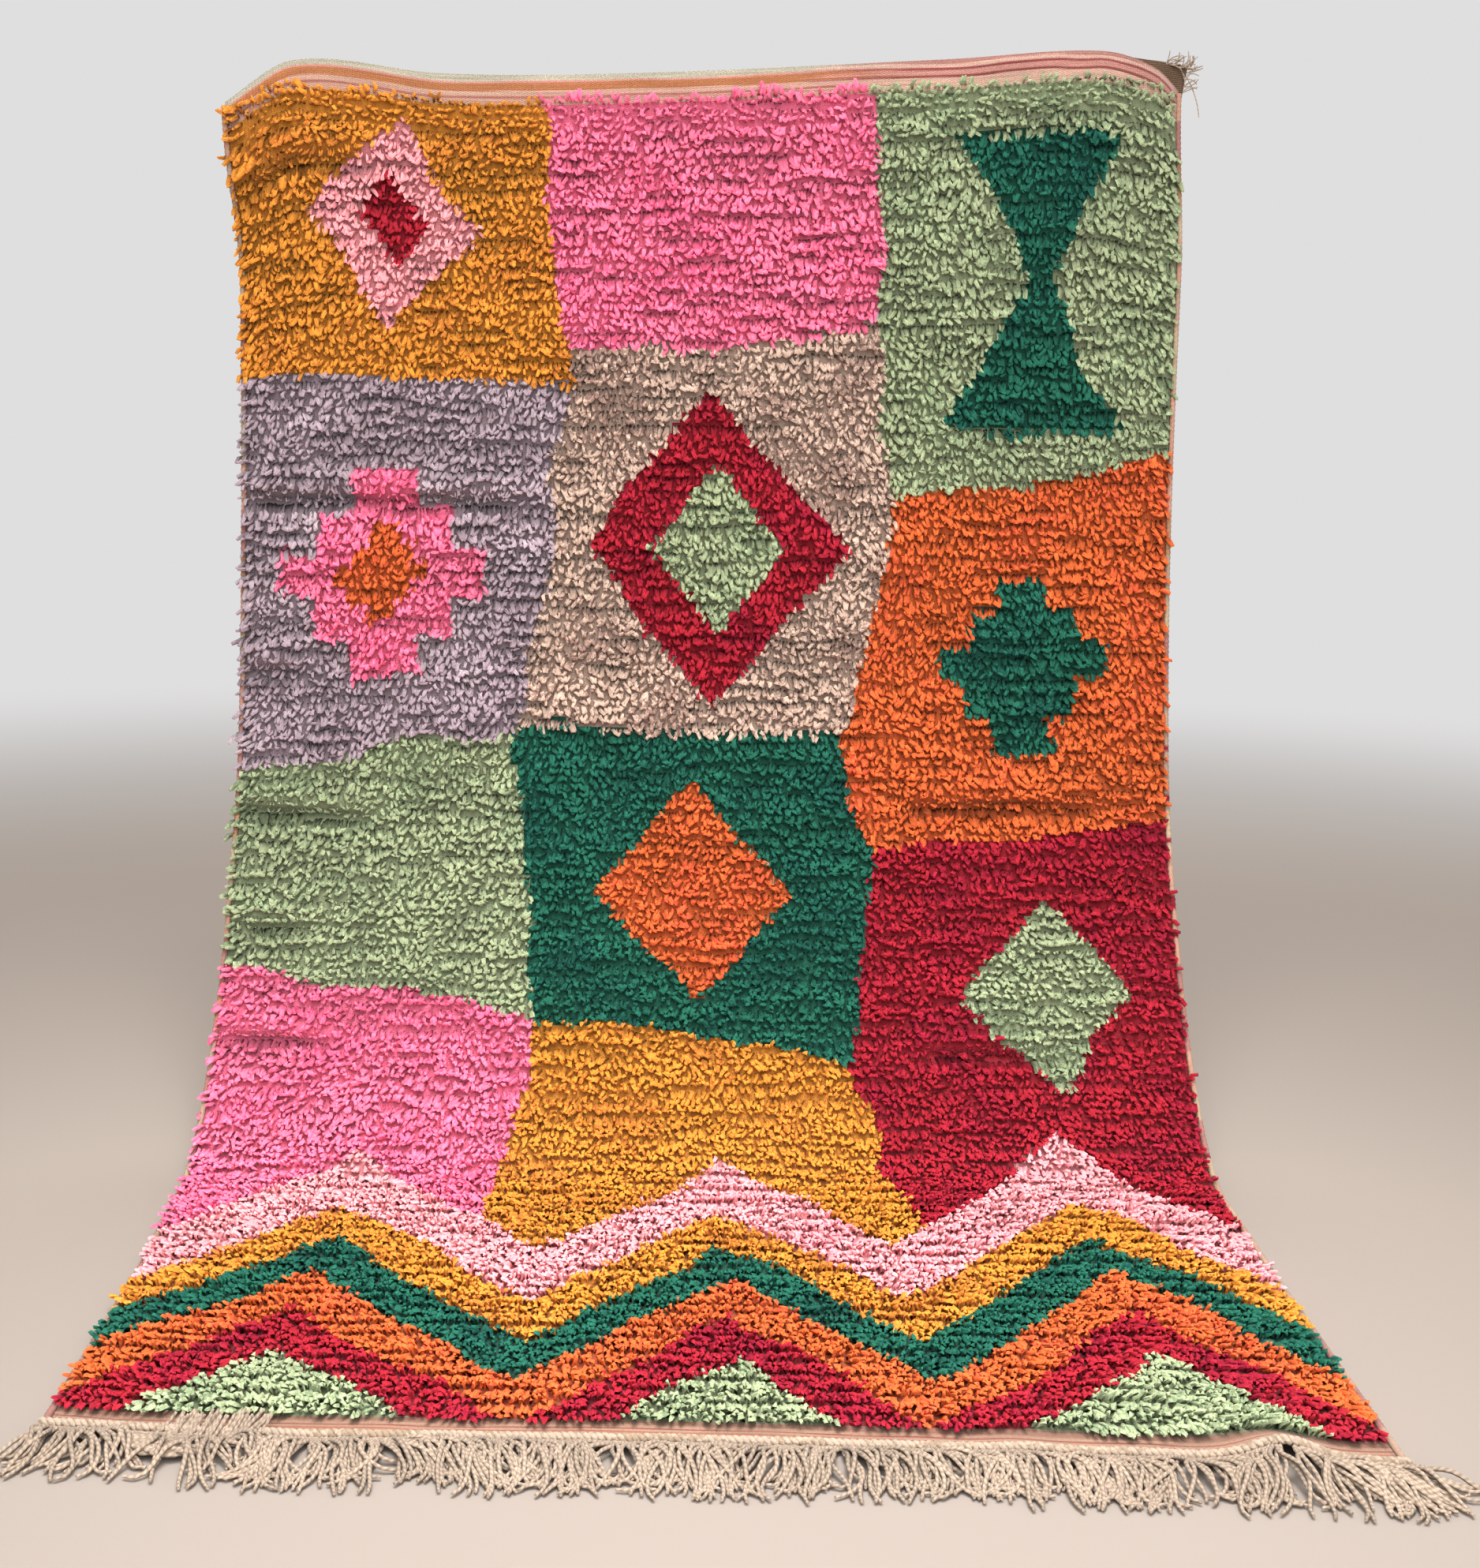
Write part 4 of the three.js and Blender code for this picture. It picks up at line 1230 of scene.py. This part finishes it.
# %% [markdown]
# The fringe is what is left of the warps. They are plied yarns that have lain under the rug, so they sit in
# tangled bunches: neighbours point the same way, bunches cross, some ends curl. Each strand is a short walk
# from the cord. It starts in the direction of its bunch, bends as it goes, rises over the strands below it
# and comes down to the floor. Near the left a bunch has been kicked back over the cord and the heading.

# %% Fringe walks
STRANDS = 780
STRAND_RADIUS = 0.0027
STRAND_POINTS = 9
STRAND_LONG = 0.106
STRAND_ROOT = 0.0095
BUNCH = 0.034
GATHER = 0.66
BUNCH_TURNS = ((0.85, 0.038, 51), (0.45, 0.14, 52))
CURL = 3.8
CURLS_ABOVE = 0.20
GAPS = ((-0.402, -0.396), (-0.141, -0.135), (0.088, 0.094), (0.349, 0.354), (0.607, 0.621))
KICKED = {"from": -0.672, "to": -0.566, "forward": 0.026, "more": 0.036, "aside": 0.080, "back": 0.012}
ENDS_SPLAY = {"left": -0.80, "right": 0.70}
HUMPS = {"kicked": (0.003, 0.007), "loose": (0.004, 0.013)}
CORD_TOP = 0.0135
OFF_FLOOR = 0.0009


def chances(number, count, seed):
    """Random numbers from -1 to 1 that belong to one strand."""
    return [float(scatter(number * 1.0, k, seed)) for k in range(count)]


def walked(angle, step):
    """How far aside and how far on a walk gets that takes one step at each angle."""
    return [np.concatenate([[0.0], np.cumsum(go(angle[:-1]) * step)]) for go in (np.sin, np.cos)]


def kicked_walk(across, chance):
    """A strand kicked over: forward from the cord, then swept right and back over cord and heading."""
    share = (across - KICKED["from"]) / (KICKED["to"] - KICKED["from"])
    forward = KICKED["forward"] + KICKED["more"] * (1 - (2 * share - 1) ** 2)
    aside = KICKED["aside"] * (1 + 0.12 * chance[4])
    corners = [
        (across, 0.0),
        (across + 0.012 + 0.007 * chance[0], forward * (1.5 + 0.15 * chance[1])),
        (across + (0.55 + 0.10 * chance[2]) * aside, forward * (1.1 + 0.15 * chance[0])),
        (across + aside, -KICKED["back"] * (0.7 + 0.8 * share) + 0.007 * chance[5]),
    ]
    walk = bezier(*corners, steps=STRAND_POINTS)
    return walk[:, 0] - across, walk[:, 1]


def loose_walk(across, chance):
    """A strand as it fell: it starts the way of its bunch, wanders, and curls at its end."""
    share = across / (WIDTH / 2)
    bunch = sum(turn * float(drift(across, 0.0, wide, 1.0, seed)) for turn, wide, seed in BUNCH_TURNS)
    splay = ENDS_SPLAY["left" if share < 0 else "right"] * abs(share) ** 14
    t = np.linspace(0, 1, STRAND_POINTS)
    angle = 0.9 * bunch + splay + 0.20 * chance[0] + (0.45 * chance[1] - 1.0 * bunch) * t
    phase = 0.55 * float(drift(across, 5.0, 0.024, 1.0, 54)) + 0.30 * chance[2]
    angle = angle + (0.24 + 0.22 * abs(chance[3])) * np.sin(FULL_TURN * (1.1 * t + phase))
    if chance[3] > CURLS_ABOVE:
        angle = angle + CURL * chance[2] * t**4
    x, out = walked(angle, STRAND_LONG * (1 + 0.22 * chance[4]) / (STRAND_POINTS - 1))
    cell = np.floor(across / BUNCH)
    centre = (cell + 0.5 + 0.35 * float(scatter(cell, 2.0, 53))) * BUNCH
    return x + GATHER * (centre - across) * smooth(t, 0, 1), out


def strand_walk(number, across):
    """The points of one strand, as (x, y, z)."""
    chance = chances(number, 8, 50)
    kicked = KICKED["from"] < across < KICKED["to"] and abs(chance[3]) > 0.10
    x, out = kicked_walk(across, chance) if kicked else loose_walk(across, chance)
    t = np.linspace(0, 1, STRAND_POINTS)
    least, more = HUMPS["kicked" if kicked else "loose"]
    hump = least + more * abs(chance[6 if kicked else 5])
    root = drape(across, LENGTH + STRAND_ROOT, 0.0030 + 0.0010 * chance[6])
    lift = STRAND_RADIUS + OFF_FLOOR + hump * np.sin(math.pi * np.minimum(t * 1.15, 1.0)) ** 1.5
    lift = lift + max(root[2] - STRAND_RADIUS, 0.0) * (1 - t) ** 2
    over = np.clip((0.010 - out) / 0.012, 0, 1) * (t > 0.3)
    lift = np.maximum(lift, over * (CORD_TOP + STRAND_RADIUS + 0.5 * hump + 0.15 * np.clip(-out, 0, 0.05)))
    return np.stack([root[0] + x, root[1] - out, lift], -1)


strand_places = [float(place) for place in np.linspace(-WIDTH / 2 + 0.004, WIDTH / 2 - 0.004, STRANDS)]
strand_places = [place for place in strand_places if not any(low < place < high for low, high in GAPS)]
walks = [strand_walk(i, place) for i, place in enumerate(strand_places)]
print(len(walks), "walks of", STRAND_POINTS, "points")

# %% [markdown]
# One tree makes a strand of yarn from each walk. It rounds the walk into a Catmull-Rom curve, sets rings on
# it at even steps, thins it towards its end and stores how far along each ring lies. The material winds its
# two plies by that length and by the place on the rim, so the twist stays even however a strand bends. The
# plies are painted shade that turns between IVORY and IVORY_SHADE, for the grooves between them, with a
# bump.

# %% Fringe strands
PLY_TURN = 0.0075
IVORY = (157, 140, 124)
IVORY_SHADE = (122, 105, 89)


def strand_tree():
    inputs = [("Radius", "Float", STRAND_RADIUS), ("Rings", "Int", 11), ("Sides", "Int", 4)]
    tree, given, result = new_tree("loose_strands", inputs)
    curve = step(tree, "MeshToCurve", Mesh=given["Geometry"])
    curve = step(tree, "CurveSplineType", spline_type="CATMULL_ROM", Curve=curve)
    curve = step(tree, "SetSplineResolution", Geometry=curve, Resolution=4)
    curve = step(tree, "ResampleCurve", Curve=curve, Count=given["Rings"])
    share, run = along_path(tree)
    taper = share.math("POWER", 8.0).times_plus(-0.25, 1.0)
    rim = rim_ring(tree, given["Sides"])
    tube = swept(tree, stored(tree, curve, "run", run), rim, taper * given["Radius"])
    return finish_tree(tree, given, result, real_and_smooth(tree, tube))


def strand_material():
    material, tree, shader = yarn_material("warp_strands")
    run = attribute(tree, "run") * (FULL_TURN / PLY_TURN)
    # Painted shade: the colour turns between IVORY and IVORY_SHADE around the strand and along its twist,
    # for the grooves between its plies.
    ply = attribute(tree, "rim_sine") * run.math("COSINE") + attribute(tree, "rim_cosine") * run.math("SINE")
    ply = ply.times_plus(0.5, 0.5)
    color = wool(tree, mix_color(tree, ply, dye(IVORY_SHADE), dye(IVORY)))[0]
    finish_shader(tree, shader, toned(tree, color, attribute(tree, "tone")), ply, 0.0010, 0.35)
    return material


def yarn_seeds(name, walks, tones):
    """The walks as paths, each with one tone all along it."""
    return seed_mesh(name, walks, numbers={"tone": np.repeat(tones, len(walks[0]))})


STRAND_TREE = strand_tree()
STRAND_MATERIAL = strand_material()
strand_tones = 1 + 0.10 * scatter(np.arange(len(walks)) * 1.0, 3.0, 60)
strand_seeds = yarn_seeds("fringe_paths", walks, strand_tones)
fringe_strands = grow("fringe_strands", strand_seeds, STRAND_TREE, STRAND_MATERIAL)
print("fringe", len(walks), "strands,", len(fringe_strands.data.polygons), "faces")

# %% [markdown]
# At the right top corner the heading's end has turned back, so a dark triangle of its reverse stands above
# the sloping edge, and the warp ends there have come loose. Its dark brown is the reverse with painted
# shade, for the shade the fold lies in, and its ribs get painted shade in their troughs. The triangle is a
# small closed sheet between the edge of the rug and a straight line over it. The loose ends use the fringe's
# tree with thinner yarn.

# %% Folded corner
FOLD_FROM = 0.662
FOLD_TO = 0.752
FOLD_TOP = float(drape(FOLD_FROM, 0.0, 0.0)[2]) + 0.002
FOLD_SINKS = 0.004
FOLD_ASIDE = 0.010
FOLD_BEHIND = 0.004
FOLD_THICK = 0.0026
FOLD_CELLS = (16, 6)
FOLD_RIBS = FULL_TURN / 0.0030
# Painted shade: the folded corner is dark brown for the shade it lies in, and darker in the troughs of its
# ribs.
FOLD_DARK = (66, 50, 38)
FOLD_LIGHT = (106, 84, 66)


def fold_point(u, v, behind):
    """A place on the folded corner: u runs from its thin end to the rug's corner, v from low to high."""
    across = FOLD_FROM + (FOLD_TO - FOLD_FROM) * u
    point = drape(across, 0.006, 0.0)
    over = FOLD_TOP - FOLD_SINKS * u - point[..., 2]
    point[..., 0] += FOLD_ASIDE * v * u
    point[..., 1] += FOLD_BEHIND + behind + 0.010 * v * u + 0.0012 * np.sin(u * 9.0)
    point[..., 2] += v * over
    return point


def folded_corner():
    wide, high = FOLD_CELLS
    u, v = np.meshgrid(np.linspace(0, 1, wide + 1), np.linspace(0, 1, high + 1))
    points = np.vstack([fold_point(u.ravel(), v.ravel(), behind) for behind in (0.0, FOLD_THICK)])
    build = bmesh.new()
    verts = [build.verts.new(point) for point in points]
    row, layer = wide + 1, (wide + 1) * (high + 1)
    quads = []
    for a in (r * row + c for r in range(high) for c in range(wide)):
        quads.append((a, a + 1, a + row + 1, a + row))
        quads.append((layer + a, layer + a + row, layer + a + row + 1, layer + a + 1))
    rim = list(range(wide)) + [wide + r * row for r in range(high)]
    rim += [layer - 1 - c for c in range(wide)] + [layer - 1 - wide - r * row for r in range(high)]
    quads += [(j, i, layer + i, layer + j) for i, j in zip(rim, rim[1:] + rim[:1])]
    for quad in quads:
        build.faces.new([verts[i] for i in quad])
    bmesh.ops.recalc_face_normals(build, faces=build.faces)
    mesh = bpy.data.meshes.new("folded_corner")
    build.to_mesh(mesh)
    build.free()
    mesh.shade_smooth()
    return mesh


def fold_material():
    material, tree, shader = yarn_material("folded_heading")
    split = node(tree, "ShaderNodeSeparateXYZ", Vector=object_place(tree))
    # Painted shade in the troughs of the ribs.
    ribs = (Number(tree, split.outputs["Z"]) * FOLD_RIBS).math("SINE").times_plus(0.5, 0.5)
    color = wool(tree, mix_color(tree, ribs, dye(FOLD_DARK), dye(FOLD_LIGHT)))[0]
    finish_shader(tree, shader, color, ribs, 0.0012, 0.7)
    return material


corner_fold = new_object("corner_fold", folded_corner())
corner_fold.data.materials.append(fold_material())
fold_corner = fold_point(1.0, 1.0, 0.0)
fold_wide = float(np.linalg.norm(fold_corner - fold_point(0.0, 1.0, 0.0)))
fold_high = float(np.linalg.norm(fold_corner - fold_point(1.0, 0.0, 0.0)))
print("folded corner", len(corner_fold.data.polygons), "faces", round(fold_wide, 3), round(fold_high, 3))

# %% [markdown]
# The fray is a few dozen single warp threads, thinner than the fringe's plied ends. They could be cards with
# a picture of threads, but there are few enough to make each one. Every third comes out of the side of the
# fold and the rest out of its top line, and one long thread hangs down beside the edge.

# %% Fray
FRAY_THREADS = 40
FRAY_RADIUS = 0.0009
FRAY_POINTS = 6
HANGING_THREAD = 3


def fray_walk(number):
    """A loose thread at the corner: most stand out from the top line, one hangs down beside the edge."""
    chance = chances(number, 7, 70)
    t = np.linspace(0, 1, FRAY_POINTS)
    root = fold_point(0.55 + 0.45 * (number % 12) / 11, 0.9, 0.001)
    if number % 3 == 0:
        root = fold_point(1.0, 0.15 + 0.8 * abs(chance[5]), 0.001)
    length, tilt, bend = 0.017 + 0.012 * abs(chance[0]), 0.9 + 0.8 * chance[1], 1.6 * chance[2]
    if number == HANGING_THREAD:
        length, tilt, bend = 0.070, 2.6, 0.5
    x, z = walked(tilt + bend * t, length / (FRAY_POINTS - 1))
    return np.stack([root[0] + x, root[1] - 0.004 * t * (1 + chance[3]), root[2] + z], -1)


fray_tones = 1.05 + 0.15 * scatter(np.arange(FRAY_THREADS) * 1.0, 9.0, 61)
fray_seeds = yarn_seeds("fray_paths", [fray_walk(i) for i in range(FRAY_THREADS)], fray_tones)
corner_fray = grow("corner_fray", fray_seeds, STRAND_TREE, STRAND_MATERIAL, Radius=FRAY_RADIUS)
print("fray", FRAY_THREADS, "threads,", len(corner_fray.data.polygons), "faces")

# %% [markdown]
# The rug has no joints, so every piece rides on the one body. Each piece names the solid that it replaces
# and its slot. The ground and the folded corner are sheets.

# %% Bodies and the frame
DRESSES = [
    ("pile_wool", "rug_cloth", [rug_ground, corner_fold, *pile]),
    ("selvedge_wool", "left_selvedge", [left_bound_edge]),
    ("selvedge_wool", "right_selvedge", [right_bound_edge]),
    ("warp_yarn", "fringe", [edge_cord, fringe_strands, corner_fray]),
]
for slot, cad_node, pieces in DRESSES:
    for piece in pieces:
        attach(piece, "root")
        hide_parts(cad_node)
triangles = sum(len(o.data.loop_triangles) for o in scene.objects if o.type == "MESH" and not o.hide_render)
print("triangles", triangles)
